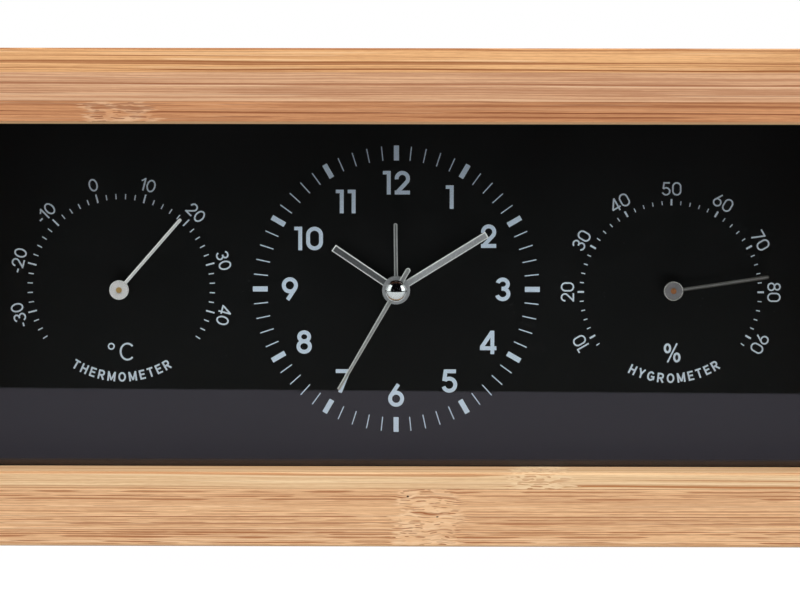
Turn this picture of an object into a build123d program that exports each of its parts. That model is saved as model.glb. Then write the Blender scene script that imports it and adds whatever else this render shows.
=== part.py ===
from build123d import *
import math
import os

# A bamboo table clock with a thermometer on its left and a hygrometer on its right.
# Every piece is drawn facing the viewer: x to the right, y up, and depth along z, which is zero on
# the front of the dial and grows towards the viewer. The last lines stand the finished pieces up,
# with +Z up, the front towards -Y and the origin under the middle of the case.

# Case boards
CASE_LENGTH = 230.0
CASE_HEIGHT = 110.0
LIP_THICKNESS = 16.6
GLASS_SHOULDER = 2.2
REAR_SHOULDER = 5.4
GLASS_RECESS = 10.0
REAR_RECESS = 5.0
EASED_EDGE = 0.5
DIAL_RAISE = 0.75

# Sheets that stand in the case
GLASS_THICKNESS = 2.0
DIAL_THICKNESS = 2.0
PANEL_THICKNESS = 3.0
SHEET_CLEARANCE = 0.2
CORNER_BLOCK = 12.0
BLOCK_CHAMFER = 5.0

# Clearances that serve all pieces
RUNNING = 0.05
PRESS_GAP = 0.02
OVERRUN = 1.0

# Hands, from the dial outwards
HAND_PLATE = 0.4
FIRST_HAND_LIFT = 1.5
HAND_PITCH = 1.4
HAND_COLLAR = 0.6
HAND_COLLAR_WALL = 0.5
GLASS_GAP = 1.3
HAND_BEVEL = 0.25
HAND_EDGE = 0.28
BOSS_RADIUS = 3.15
ALARM_HAND_LENGTH = 15.1
ALARM_HAND_WIDTH = 0.85
HOUR_HAND_LENGTH = 17.1
HOUR_HAND_WIDTH = 1.7
MINUTE_HAND_LENGTH = 24.1
MINUTE_HAND_WIDTH = 1.6
SECOND_HAND_LENGTH = 25.9
SECOND_HAND_WIDTH = 1.0
SECOND_TIP_WIDTH = 0.7
SECOND_BEVEL = 0.2
SECOND_TAIL_LENGTH = 5.9
SECOND_TAIL_WIDTH = 1.1
CAP_RIM_RADIUS = 2.45
CAP_RIM_HEIGHT = 0.4
CAP_RADIUS = 2.2
CAP_WALL = 1.25
CAP_HEIGHT = 2.1

# Where the hands point, in degrees clockwise from twelve
ALARM_ANGLE = 359.3
HOUR_ANGLE = 304.0
MINUTE_ANGLE = 58.3
SECOND_ANGLE = 210.1

# Tubes on the clock's axis, from the inside out
SECOND_ARBOR = 0.5
MINUTE_TUBE = 0.95
HOUR_TUBE = 1.5
ALARM_TUBE = 2.1
NECK_RADIUS = 2.8

# Teeth
SECOND_TEETH = 40
SECOND_LEAVES = 8
THIRD_TEETH = 60
THIRD_LEAVES = 8
MINUTE_TEETH = 64
CANNON_LEAVES = 16
MOTION_TEETH = 48
MOTION_LEAVES = 14
HOUR_TEETH = 56
ALARM_TEETH = 40
ALARM_SET_TEETH = 30
INTERMEDIATE_TEETH = 48
INTERMEDIATE_LEAVES = 8
ROTOR_LEAVES = 8
ADDENDUM_SHARE = 0.8
DEDENDUM_SHARE = 1.1
TOOTH_TIP_SHARE = 0.10
TOOTH_ROOT_SHARE = 0.25

# Wheels and where their arbors stand round the clock's axis
FRONT_WHEEL = 1.0
REAR_WHEEL = 0.8
WHEEL_GAP = 0.55
THIRD_DISTANCE = 11.52
INTERMEDIATE_DISTANCE = 8.4
ROTOR_DISTANCE = 8.4
ARBOR_CLEARANCE = 1.02
SETTING_ARBOR = 0.8
THIRD_ARBOR = 0.7
PIVOT_RADIUS = 0.4
PIVOT_LENGTH = 1.0
POST_RADIUS = 0.6
BEARING_BOSS = 1.6
THIRD_ARBOR_ANGLE = 60.0
INTERMEDIATE_ARBOR_ANGLE = 120.0
ROTOR_ARBOR_ANGLE = 150.0
MOTION_ARBOR_ANGLE = 180.0
ALARM_SET_ARBOR_ANGLE = -30.0

# Movement case
MOVEMENT_WALL = 1.4
MIDDLE_PLATE = 1.2
PLATE_LEDGE = 0.7
PLATE_CLEARANCE = 0.1
PIVOT_ROOM = 3.9
TRAIN_CLEARANCE = 0.8
MOVEMENT_CORNER = 2.0
EAR_REACH = 7.0
EAR_HEIGHT = 7.0
EAR_THICKNESS = 2.0
EAR_STAND = 4.0
EAR_INSET = 8.0

# Battery, its bay and its contacts
BATTERY_RADIUS = 7.25
BATTERY_LENGTH = 50.5
BATTERY_NUB_RADIUS = 2.75
BATTERY_NUB = 1.0
BATTERY_EDGE = 0.6
BATTERY_CLEARANCE = 0.4
BATTERY_INSET = 0.4
BATTERY_SEAT = 0.15
CONTACT_ROOM = 1.6
CONTACT_PLATE = 0.4
CONTACT_SIZE = 9.0
CONTACT_PAD_RADIUS = 3.0
CONTACT_TOUCH = 0.1

# Stepping motor
ROTOR_RADIUS = 2.6
ROTOR_ARBOR = 0.7
ROTOR_AIR_GAP = 0.5
STATOR_PLATE = 1.0
STATOR_STAND = 1.6
STATOR_ARM = 3.0
STATOR_HALF_HEIGHT = 8.0
STATOR_WEB = 4.6
STATOR_POST = 1.2
CORE_WIDTH = 2.5
CORE_PLATE = 1.0
COIL_OFFSET = 10.5
COIL_RADIUS = 2.8
COIL_FLANGE = 3.1
COIL_FLANGE_PLATE = 0.8
COIL_CLEARANCE = 0.1

# Circuit board, crystal and buzzer
BOARD_WIDTH = 12.0
BOARD_HEIGHT = 8.5
BOARD_PLATE = 1.0
BOARD_STAND = 1.6
BOARD_POST = 1.2
BOARD_GAP = 1.6
CRYSTAL_RADIUS = 1.0
CRYSTAL_LENGTH = 6.0
BUZZER_RADIUS = 7.5
BUZZER_PLATE = 0.8
BUZZER_SEAT = 0.5
BUZZER_SEAT_WIDTH = 1.2
BUZZER_GAP = 2.0
SOUND_HOLE_RADIUS = 0.8
SOUND_HOLE_COUNT = 6
SOUND_RING_RADIUS = 3.6

# Knobs and switch on the rear
KNOB_RADIUS = 5.5
KNOB_HEIGHT = 5.4
KNOB_GAP = 0.4
KNOB_FLUTES = 18
FLUTE_RADIUS = 0.6
KNOB_CHAMFER = 0.6
SWITCH_TRAVEL = 3.0
SWITCH_STEM = 3.0
SWITCH_STEM_HEIGHT = 2.0
SWITCH_CLEARANCE = 0.15
SWITCH_KEEPER = 7.0
SWITCH_KEEPER_HEIGHT = 4.0
SWITCH_KEEPER_PLATE = 1.0
SWITCH_THUMB = 5.0
SWITCH_THUMB_HEIGHT = 4.0
SWITCH_THUMB_LIFT = 2.2
SWITCH_EDGE = 0.4
SWITCH_X = -6.0
SWITCH_DROP = 3.4

# Screws
SCREW_RADIUS = 1.0
SCREW_HEAD_RADIUS = 1.9
SCREW_HEAD = 1.2
SCREW_LENGTH = 5.6
SCREW_CLEARANCE = 0.05
DRIVE_WIDTH = 0.5
DRIVE_DEPTH = 0.5
DIAL_BOSS_RADIUS = 2.4
DIAL_FLOOR = 0.9
PANEL_SCREW_LENGTH = 10.0
PANEL_SCREW_SHARES = ((-0.85, 1.0), (0.0, 1.0), (0.85, 1.0), (-1.0, 0.0))

# Gauges
GAUGE_END_MARGIN = 35.7
POINTER_LIFT = 4.5
POINTER_PLATE = 0.5
POINTER_HUB_RADIUS = 2.2
POINTER_BEVEL = 0.24
POINTER_EDGE = 0.36
POINTER_WIDTH = 0.75
THERMOMETER_POINTER_LENGTH = 21.4
THERMOMETER_ANGLE = 41.1
HYGROMETER_POINTER_LENGTH = 21.8
HYGROMETER_ANGLE = 81.5
GAUGE_ARBOR = 0.75
GAUGE_TIP_RADIUS = 0.53
GAUGE_TIP = 0.25
GAUGE_COLLAR_RADIUS = 1.1
GAUGE_PLAY = 0.3
BUSH_RADIUS = 1.5
BUSH_FLANGE_RADIUS = 3.0
BUSH_FLANGE = 0.8
BUSH_LIFT = 1.6
BRACKET_PLATE = 1.2
BRACKET_HEIGHT = 8.0
BRACKET_STAND = 4.0
BRACKET_SCREW_SPAN = 24.0
BRACKET_BOSS_RADIUS = 2.6
COLLET_RADIUS = 1.4
STRIP_THICKNESS = 0.35
STRIP_WIDTH = 3.0
STRIP_PITCH = 1.3
STRIP_HALF_TURNS = 10
STRIP_GAP = 0.18
STRIP_STAND = 0.8
POST_THICKNESS = 1.0
POST_HEIGHT = 2.4
POST_GAP = 0.05

# Back panel
VENT_COUNT = 5
VENT_PITCH = 6.0
VENT_WIDTH = 2.4
VENT_LENGTH = 26.0
PANEL_OPENING_CLEARANCE = 0.5

# Depths, from the viewer to the rear
SECOND_LIFT = FIRST_HAND_LIFT + 3 * HAND_PITCH
CAP_REAR = SECOND_LIFT + HAND_PLATE
GLASS_REAR = CAP_REAR + CAP_HEIGHT + GLASS_GAP
GLASS_FRONT = GLASS_REAR + GLASS_THICKNESS
CASE_FRONT = GLASS_FRONT + GLASS_RECESS
DIAL_REAR = -DIAL_THICKNESS
FRONT_WALL_REAR = DIAL_REAR - MOVEMENT_WALL
ALARM_FRONT = FRONT_WALL_REAR - WHEEL_GAP
ALARM_REAR = ALARM_FRONT - FRONT_WHEEL
HOUR_FRONT = ALARM_REAR - WHEEL_GAP
HOUR_REAR = HOUR_FRONT - FRONT_WHEEL
MOTION_FRONT = HOUR_REAR - WHEEL_GAP
MOTION_REAR = MOTION_FRONT - FRONT_WHEEL
PLATE_FRONT = MOTION_REAR - WHEEL_GAP
PLATE_REAR = PLATE_FRONT - MIDDLE_PLATE
MINUTE_FRONT = PLATE_REAR - WHEEL_GAP
MINUTE_REAR = MINUTE_FRONT - REAR_WHEEL
THIRD_FRONT = MINUTE_REAR - WHEEL_GAP
THIRD_REAR = THIRD_FRONT - REAR_WHEEL
SECOND_FRONT = THIRD_REAR - WHEEL_GAP
SECOND_REAR = SECOND_FRONT - REAR_WHEEL
INTERMEDIATE_FRONT = SECOND_REAR - WHEEL_GAP
INTERMEDIATE_REAR = INTERMEDIATE_FRONT - REAR_WHEEL
BOSS_FRONT = INTERMEDIATE_REAR - WHEEL_GAP
REAR_WALL_FRONT = INTERMEDIATE_REAR - PIVOT_ROOM
MOVEMENT_REAR = REAR_WALL_FRONT - MOVEMENT_WALL
PANEL_REAR = MOVEMENT_REAR - PANEL_THICKNESS
CASE_REAR = PANEL_REAR - REAR_RECESS
CASE_DEPTH = CASE_FRONT - CASE_REAR
STATOR_FRONT = PLATE_REAR - STATOR_STAND
STATOR_REAR = STATOR_FRONT - STATOR_PLATE
CORE_REAR = STATOR_REAR - CORE_PLATE
CORE_DEPTH = (STATOR_REAR + CORE_REAR) / 2
BOARD_FRONT = PLATE_REAR - BOARD_STAND
BOARD_REAR = BOARD_FRONT - BOARD_PLATE
EAR_FRONT = DIAL_REAR - EAR_STAND
EAR_REAR = EAR_FRONT - EAR_THICKNESS
KNOB_FRONT = MOVEMENT_REAR - KNOB_GAP
BRACKET_FRONT = DIAL_REAR - BRACKET_STAND
BRACKET_REAR = BRACKET_FRONT - BRACKET_PLATE
STRIP_FRONT = BRACKET_REAR - STRIP_STAND
STRIP_REAR = STRIP_FRONT - STRIP_WIDTH

# Case openings
CASE_CENTRE_Y = -DIAL_RAISE
WINDOW_LENGTH = CASE_LENGTH - 2 * LIP_THICKNESS
WINDOW_HEIGHT = CASE_HEIGHT - 2 * LIP_THICKNESS
SEAT_LENGTH = WINDOW_LENGTH + 2 * GLASS_SHOULDER
SEAT_HEIGHT = WINDOW_HEIGHT + 2 * GLASS_SHOULDER
REBATE_LENGTH = SEAT_LENGTH + 2 * REAR_SHOULDER
REBATE_HEIGHT = SEAT_HEIGHT + 2 * REAR_SHOULDER
SHEET_LENGTH = SEAT_LENGTH - 2 * SHEET_CLEARANCE
SHEET_HEIGHT = SEAT_HEIGHT - 2 * SHEET_CLEARANCE
GAUGE_SPACING = WINDOW_LENGTH / 2 - GAUGE_END_MARGIN

# Tooth sizes, from the distances between the arbors
MINUTE_MODULE = 2 * THIRD_DISTANCE / (MINUTE_TEETH + THIRD_LEAVES)
THIRD_MODULE = 2 * THIRD_DISTANCE / (THIRD_TEETH + SECOND_LEAVES)
SECOND_MODULE = 2 * INTERMEDIATE_DISTANCE / (SECOND_TEETH + INTERMEDIATE_LEAVES)
ROTOR_MODULE = 2 * ROTOR_DISTANCE / (INTERMEDIATE_TEETH + ROTOR_LEAVES)
MINUTE_TIP = MINUTE_MODULE * (MINUTE_TEETH / 2 + ADDENDUM_SHARE)
THIRD_TIP = THIRD_MODULE * (THIRD_TEETH / 2 + ADDENDUM_SHARE)
SETTING_DISTANCE = MINUTE_TIP + SETTING_ARBOR + ARBOR_CLEARANCE
CANNON_MODULE = 2 * SETTING_DISTANCE / (CANNON_LEAVES + MOTION_TEETH)
HOUR_MODULE = 2 * SETTING_DISTANCE / (HOUR_TEETH + MOTION_LEAVES)
ALARM_MODULE = 2 * SETTING_DISTANCE / (ALARM_TEETH + ALARM_SET_TEETH)
ALARM_SET_TIP = ALARM_MODULE * (ALARM_SET_TEETH / 2 + ADDENDUM_SHARE)


def polar(distance, bearing):
    """Place at a distance from the clock's axis, at a bearing in degrees from the right."""
    angle = math.radians(bearing)
    return Vector(distance * math.cos(angle), distance * math.sin(angle))


THIRD = polar(THIRD_DISTANCE, THIRD_ARBOR_ANGLE)
INTERMEDIATE = polar(INTERMEDIATE_DISTANCE, INTERMEDIATE_ARBOR_ANGLE)
ROTOR = INTERMEDIATE + polar(ROTOR_DISTANCE, ROTOR_ARBOR_ANGLE)
MOTION = polar(SETTING_DISTANCE, MOTION_ARBOR_ANGLE)
ALARM_SET = polar(SETTING_DISTANCE, ALARM_SET_ARBOR_ANGLE)
AXIS = Vector(0, 0)

# Movement outline, round the train above and the battery below
BAY_LENGTH = BATTERY_LENGTH + 2 * CONTACT_ROOM
COIL_X = ROTOR.X - COIL_OFFSET
BOARD_X = ALARM_SET.X + SETTING_ARBOR + BOARD_GAP + BOARD_WIDTH / 2
TRAIN_REACH = max(COIL_FLANGE - COIL_X, BOARD_X + BOARD_WIDTH / 2) + TRAIN_CLEARANCE
CAVITY_WIDTH = max(BAY_LENGTH, 2 * (TRAIN_REACH + PLATE_LEDGE))
MOVEMENT_WIDTH = CAVITY_WIDTH + 2 * MOVEMENT_WALL
CAVITY_TOP = THIRD.Y + THIRD_TIP + TRAIN_CLEARANCE
CAVITY_BOTTOM = ALARM_SET.Y - ALARM_SET_TIP - TRAIN_CLEARANCE
CAVITY_HEIGHT = CAVITY_TOP - CAVITY_BOTTOM
CAVITY_Y = (CAVITY_TOP + CAVITY_BOTTOM) / 2
BAY_TOP = CAVITY_BOTTOM - PLATE_LEDGE - MOVEMENT_WALL
BATTERY_Y = BAY_TOP - BATTERY_CLEARANCE - BATTERY_RADIUS
BAY_HEIGHT = 2 * (BATTERY_RADIUS + BATTERY_CLEARANCE)
MOVEMENT_TOP = CAVITY_TOP + MOVEMENT_WALL
MOVEMENT_BOTTOM = BATTERY_Y - BAY_HEIGHT / 2 - MOVEMENT_WALL
MOVEMENT_HEIGHT = MOVEMENT_TOP - MOVEMENT_BOTTOM
MOVEMENT_Y = (MOVEMENT_TOP + MOVEMENT_BOTTOM) / 2
BATTERY_DEPTH = MOVEMENT_REAR + BATTERY_INSET + BATTERY_RADIUS
BAY_FLOOR = BATTERY_DEPTH + BATTERY_RADIUS + BATTERY_SEAT
EAR_X = (MOVEMENT_WIDTH + EAR_REACH) / 2
EAR_PLACES = [
    Vector(side * EAR_X, y)
    for side in (-1, 1)
    for y in (MOVEMENT_TOP - EAR_INSET, MOVEMENT_BOTTOM + EAR_INSET)
]
STATOR_RIGHT = ROTOR.X + STATOR_WEB
STATOR_LEFT = COIL_X - CORE_WIDTH / 2
STATOR_POSTS = [
    Vector(ROTOR.X - STATOR_WEB + STATOR_ARM / 2, ROTOR.Y + level * (STATOR_HALF_HEIGHT - STATOR_ARM / 2))
    for level in (-1, 1)
]
BOARD_Y = CAVITY_BOTTOM + TRAIN_CLEARANCE + BOARD_HEIGHT / 2
BOARD_POSTS = [
    Vector(BOARD_X - BOARD_WIDTH / 2 + BOARD_POST, BOARD_Y - BOARD_HEIGHT / 2 + BOARD_POST),
    Vector(BOARD_X + BOARD_WIDTH / 2 - BOARD_POST, BOARD_Y + BOARD_HEIGHT / 2 - BOARD_POST),
]
BUZZER = Vector(
    CAVITY_WIDTH / 2 - BUZZER_GAP - BUZZER_RADIUS, CAVITY_TOP - BUZZER_GAP - BUZZER_RADIUS
)
SWITCH_Y = CAVITY_TOP - SWITCH_DROP

# Gauge places
GAUGE_SCREWS = [Vector(-BRACKET_SCREW_SPAN / 2, 0), Vector(BRACKET_SCREW_SPAN / 2, 0)]
STRIP_START = COLLET_RADIUS + STRIP_GAP + STRIP_THICKNESS / 2
STRIP_END = STRIP_START + STRIP_PITCH * STRIP_HALF_TURNS / 2


def block(width, height, rear, front, at=AXIS):
    """Box centred on a place, from one depth to another."""
    return Pos(at.X, at.Y, (rear + front) / 2) * Box(width, height, front - rear)


def rod(radius, rear, front, at=AXIS):
    """Round bar along the depth."""
    return Pos(at.X, at.Y, (rear + front) / 2) * Cylinder(radius, front - rear)


def bore(radius, rear, front, at=AXIS):
    """Cutter for a hole that runs out of both faces."""
    return rod(radius, rear - OVERRUN, front + OVERRUN, at)


def tube(outer, inner, rear, front, at=AXIS):
    """Round bar with a hole right through it."""
    return rod(outer, rear, front, at) - bore(inner, rear, front, at)


def prism(outline, rear, front, at=AXIS):
    """Flat outline carried from one depth to another."""
    return extrude(Pos(at.X, at.Y, rear) * outline, amount=front - rear, dir=(0, 0, 1))


def rounded_block(width, height, rear, front, radius, at=AXIS):
    """Box with its four long edges rounded."""
    return prism(RectangleRounded(width, height, radius), rear, front, at)


def gear(teeth, module, rear, front, bearing, gap_on_bearing=False, at=AXIS):
    """Spur gear with a tooth, or a gap between two teeth, at a bearing in degrees."""
    pitch = 2 * math.pi / teeth
    start = math.radians(bearing) + (pitch / 2 if gap_on_bearing else 0)
    tip = module * (teeth / 2 + ADDENDUM_SHARE)
    root = module * (teeth / 2 - DEDENDUM_SHARE)
    corners = [
        (root, -TOOTH_ROOT_SHARE),
        (tip, -TOOTH_TIP_SHARE),
        (tip, TOOTH_TIP_SHARE),
        (root, TOOTH_ROOT_SHARE),
    ]
    outline = []
    for tooth in range(teeth):
        for radius, share in corners:
            angle = start + (tooth + share) * pitch
            outline.append((radius * math.cos(angle), radius * math.sin(angle)))
    return prism(Polygon(*outline, align=None), rear, front, at)


def screw(at, seat, length):
    """Pan-head screw with a cross slot, its head on the rear of what it holds at depth seat."""
    head = rod(SCREW_HEAD_RADIUS, seat - SCREW_HEAD, seat, at)
    for width, height in ((SCREW_HEAD_RADIUS, DRIVE_WIDTH), (DRIVE_WIDTH, SCREW_HEAD_RADIUS)):
        head -= block(width, height, seat - SCREW_HEAD, seat - SCREW_HEAD + DRIVE_DEPTH, at)
    return head + rod(SCREW_RADIUS, seat, seat + length, at)


def case_boards():
    """Four mitred boards, cut from one stepped ring so that their corners meet."""
    middle = Vector(0, CASE_CENTRE_Y)
    ring = block(CASE_LENGTH, CASE_HEIGHT, CASE_REAR, CASE_FRONT, middle)
    ring = fillet(ring.edges(), EASED_EDGE)
    ring -= block(WINDOW_LENGTH, WINDOW_HEIGHT, CASE_REAR - OVERRUN, CASE_FRONT + OVERRUN, middle)
    ring = chamfer(ring.faces().sort_by(Axis.Z)[-1].inner_wires()[0].edges(), EASED_EDGE)
    ring -= block(SEAT_LENGTH, SEAT_HEIGHT, CASE_REAR - OVERRUN, GLASS_FRONT, middle)
    ring -= block(REBATE_LENGTH, REBATE_HEIGHT, CASE_REAR - OVERRUN, MOVEMENT_REAR, middle)
    for place in panel_screw_places():
        ring -= rod(
            SCREW_RADIUS + SCREW_CLEARANCE,
            MOVEMENT_REAR - OVERRUN,
            PANEL_REAR + PANEL_SCREW_LENGTH + OVERRUN,
            place,
        )
    half_x = CASE_LENGTH / 2
    half_y = CASE_HEIGHT / 2
    inner_x = half_x - LIP_THICKNESS - OVERRUN
    inner_y = half_y - LIP_THICKNESS - OVERRUN
    mitres = {
        "top": [(-half_x, half_y), (half_x, half_y), (inner_x, inner_y), (-inner_x, inner_y)],
        "bottom": [(-half_x, -half_y), (half_x, -half_y), (inner_x, -inner_y), (-inner_x, -inner_y)],
        "left": [(-half_x, -half_y), (-half_x, half_y), (-inner_x, inner_y), (-inner_x, -inner_y)],
        "right": [(half_x, -half_y), (half_x, half_y), (inner_x, inner_y), (inner_x, -inner_y)],
    }
    boards = {}
    for side, corners in mitres.items():
        outline = Polygon(*corners, align=None)
        boards[f"case_{side}_board"] = ring & prism(outline, CASE_REAR, CASE_FRONT, middle)
    return boards


def front_glass():
    """Clear pane behind the lip."""
    return block(SHEET_LENGTH, SHEET_HEIGHT, GLASS_REAR, GLASS_FRONT, Vector(0, CASE_CENTRE_Y))


def spacer_frame():
    """Frame that keeps the dial behind the sweep of the hands."""
    middle = Vector(0, CASE_CENTRE_Y)
    frame = block(SHEET_LENGTH, SHEET_HEIGHT, 0, GLASS_REAR, middle)
    return frame - block(WINDOW_LENGTH, WINDOW_HEIGHT, -OVERRUN, GLASS_REAR + OVERRUN, middle)


def gauge_centres():
    """The two gauges, left and right of the clock."""
    return [Vector(-GAUGE_SPACING, 0), Vector(GAUGE_SPACING, 0)]


def dial_plate():
    """Dial with the neck hole, the two bush holes and the screw bosses on its rear."""
    plate = block(SHEET_LENGTH, SHEET_HEIGHT, DIAL_REAR, 0, Vector(0, CASE_CENTRE_Y))
    bosses = [(place, EAR_FRONT) for place in EAR_PLACES]
    bosses += [(gauge + place, BRACKET_FRONT) for gauge in gauge_centres() for place in GAUGE_SCREWS]
    for place, seat in bosses:
        plate += rod(DIAL_BOSS_RADIUS, seat, DIAL_REAR, place)
    for place, seat in bosses:
        plate -= rod(SCREW_RADIUS + SCREW_CLEARANCE, seat - OVERRUN, -DIAL_FLOOR, place)
    plate -= bore(NECK_RADIUS + SHEET_CLEARANCE, DIAL_REAR, 0)
    for gauge in gauge_centres():
        plate -= bore(BUSH_RADIUS + PRESS_GAP, DIAL_REAR, 0, gauge)
    return plate


def dial_corner_blocks():
    """Blocks in the four corners, between the dial and the back panel."""
    blocks = []
    for side in (-1, 1):
        for level in (-1, 1):
            corner = Vector(side * SEAT_LENGTH / 2, CASE_CENTRE_Y + level * SEAT_HEIGHT / 2)
            inner = CORNER_BLOCK - BLOCK_CHAMFER
            outline = Polygon(
                (corner.X, corner.Y),
                (corner.X - side * CORNER_BLOCK, corner.Y),
                (corner.X - side * CORNER_BLOCK, corner.Y - level * inner),
                (corner.X - side * inner, corner.Y - level * CORNER_BLOCK),
                (corner.X, corner.Y - level * CORNER_BLOCK),
                align=None,
            )
            blocks.append(prism(outline, MOVEMENT_REAR, DIAL_REAR))
    return Compound(blocks)


def panel_screw_places():
    """Places along the rear shoulder, mirrored top to bottom and left to right."""
    half_x = (SEAT_LENGTH + REAR_SHOULDER) / 2
    half_y = (SEAT_HEIGHT + REAR_SHOULDER) / 2
    places = []
    for x_share, y_share in PANEL_SCREW_SHARES:
        for turn in (-1, 1):
            places.append(Vector(turn * x_share * half_x, CASE_CENTRE_Y + turn * y_share * half_y))
    return places


def back_panel():
    """Panel on the rear shoulder, with the movement's opening and vents behind the gauges."""
    middle = Vector(0, CASE_CENTRE_Y)
    panel = block(
        REBATE_LENGTH - 2 * SHEET_CLEARANCE,
        REBATE_HEIGHT - 2 * SHEET_CLEARANCE,
        PANEL_REAR,
        MOVEMENT_REAR,
        middle,
    )
    panel -= rounded_block(
        MOVEMENT_WIDTH + 2 * PANEL_OPENING_CLEARANCE,
        MOVEMENT_HEIGHT + 2 * PANEL_OPENING_CLEARANCE,
        PANEL_REAR - OVERRUN,
        MOVEMENT_REAR + OVERRUN,
        MOVEMENT_CORNER,
        Vector(0, MOVEMENT_Y),
    )
    slot = SlotOverall(VENT_LENGTH, VENT_WIDTH, rotation=90)
    for gauge in gauge_centres():
        for vent in range(VENT_COUNT):
            place = gauge + Vector((vent - (VENT_COUNT - 1) / 2) * VENT_PITCH, 0)
            panel -= prism(slot, PANEL_REAR - OVERRUN, MOVEMENT_REAR + OVERRUN, place)
    for place in panel_screw_places():
        panel -= bore(SCREW_RADIUS + SCREW_CLEARANCE, PANEL_REAR, MOVEMENT_REAR, place)
    return panel


def back_panel_screws():
    """Screws through the panel into the shoulder of the boards."""
    return Compound([screw(place, PANEL_REAR, PANEL_SCREW_LENGTH) for place in panel_screw_places()])


def movement_front_case():
    """Front shell with the neck, the ears, the front half of the battery bay and a plate ledge."""
    outline = Vector(0, MOVEMENT_Y)
    cavity = Vector(0, CAVITY_Y)
    shell = rounded_block(
        MOVEMENT_WIDTH, MOVEMENT_HEIGHT, PLATE_REAR, DIAL_REAR, MOVEMENT_CORNER, outline
    )
    shell -= block(
        CAVITY_WIDTH - 2 * PLATE_LEDGE, CAVITY_HEIGHT, PLATE_REAR - OVERRUN, FRONT_WALL_REAR, cavity
    )
    shell -= block(
        CAVITY_WIDTH, CAVITY_HEIGHT + 2 * PLATE_LEDGE, PLATE_REAR - OVERRUN, PLATE_FRONT, cavity
    )
    shell -= block(BAY_LENGTH, BAY_HEIGHT, PLATE_REAR - OVERRUN, BAY_FLOOR, Vector(0, BATTERY_Y))
    shell += rod(NECK_RADIUS, DIAL_REAR, -SHEET_CLEARANCE)
    shell -= bore(ALARM_TUBE + RUNNING, FRONT_WALL_REAR, 0)
    for place in EAR_PLACES:
        shell += block(EAR_REACH, EAR_HEIGHT, EAR_REAR, EAR_FRONT, place)
    for place in EAR_PLACES:
        shell -= bore(SCREW_RADIUS + SCREW_CLEARANCE, EAR_REAR, EAR_FRONT, place)
    for place in (MOTION, ALARM_SET):
        shell -= rod(
            PIVOT_RADIUS + RUNNING, FRONT_WALL_REAR - OVERRUN, FRONT_WALL_REAR + PIVOT_LENGTH, place
        )
    return shell


def movement_middle_plate():
    """Plate between the motion work and the going train, with the motor and board posts."""
    plate = block(
        CAVITY_WIDTH - 2 * PLATE_CLEARANCE,
        CAVITY_HEIGHT + 2 * PLATE_LEDGE - 2 * PLATE_CLEARANCE,
        PLATE_REAR,
        PLATE_FRONT,
        Vector(0, CAVITY_Y),
    )
    for place in STATOR_POSTS:
        plate += rod(STATOR_POST, STATOR_FRONT, PLATE_REAR, place)
    for place in BOARD_POSTS:
        plate += rod(BOARD_POST, BOARD_FRONT, PLATE_REAR, place)
    plate -= bore(MINUTE_TUBE + RUNNING, PLATE_REAR, PLATE_FRONT)
    for place in (THIRD, ROTOR):
        plate -= bore(PIVOT_RADIUS + RUNNING, PLATE_REAR, PLATE_FRONT, place)
    for place in (MOTION, ALARM_SET):
        plate -= bore(SETTING_ARBOR + RUNNING, PLATE_REAR, PLATE_FRONT, place)
    return plate


def movement_rear_case():
    """Rear shell with the arbor bosses, the open battery bay, the switch slot and sound holes."""
    shell = rounded_block(
        MOVEMENT_WIDTH,
        MOVEMENT_HEIGHT,
        MOVEMENT_REAR,
        PLATE_REAR,
        MOVEMENT_CORNER,
        Vector(0, MOVEMENT_Y),
    )
    shell -= block(
        CAVITY_WIDTH - 2 * PLATE_LEDGE,
        CAVITY_HEIGHT,
        REAR_WALL_FRONT,
        PLATE_REAR + OVERRUN,
        Vector(0, CAVITY_Y),
    )
    bay = Vector(0, BATTERY_Y)
    shell -= block(BAY_LENGTH, BAY_HEIGHT, MOVEMENT_REAR - OVERRUN, PLATE_REAR + OVERRUN, bay)
    shell += tube(BEARING_BOSS, SECOND_ARBOR + RUNNING, REAR_WALL_FRONT, BOSS_FRONT)
    shell += tube(BEARING_BOSS, PIVOT_RADIUS + RUNNING, REAR_WALL_FRONT, BOSS_FRONT, ROTOR)
    shell += tube(BEARING_BOSS, PIVOT_RADIUS + RUNNING, REAR_WALL_FRONT, SECOND_FRONT, THIRD)
    shell += rod(BEARING_BOSS, REAR_WALL_FRONT, BOSS_FRONT, INTERMEDIATE)
    shell += rod(POST_RADIUS, BOSS_FRONT, SECOND_FRONT + WHEEL_GAP / 2, INTERMEDIATE)
    for place in (MOTION, ALARM_SET):
        shell += rod(BEARING_BOSS, REAR_WALL_FRONT, BOSS_FRONT, place)
        shell -= bore(SETTING_ARBOR + RUNNING, MOVEMENT_REAR, BOSS_FRONT, place)
    seat_front = REAR_WALL_FRONT + BUZZER_SEAT
    shell += tube(BUZZER_RADIUS, BUZZER_RADIUS - BUZZER_SEAT_WIDTH, REAR_WALL_FRONT, seat_front, BUZZER)
    shell -= bore(SOUND_HOLE_RADIUS, MOVEMENT_REAR, REAR_WALL_FRONT, BUZZER)
    for hole in range(SOUND_HOLE_COUNT):
        place = BUZZER + polar(SOUND_RING_RADIUS, 360 / SOUND_HOLE_COUNT * hole)
        shell -= bore(SOUND_HOLE_RADIUS, MOVEMENT_REAR, REAR_WALL_FRONT, place)
    shell -= block(
        SWITCH_STEM + SWITCH_TRAVEL + 2 * SWITCH_CLEARANCE,
        SWITCH_STEM_HEIGHT + 2 * SWITCH_CLEARANCE,
        MOVEMENT_REAR - OVERRUN,
        REAR_WALL_FRONT + OVERRUN,
        Vector(SWITCH_X + SWITCH_TRAVEL / 2, SWITCH_Y),
    )
    return shell


def movement_screws():
    """Screws through the ears into the dial's bosses."""
    return Compound([screw(place, EAR_REAR, SCREW_LENGTH) for place in EAR_PLACES])


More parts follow.
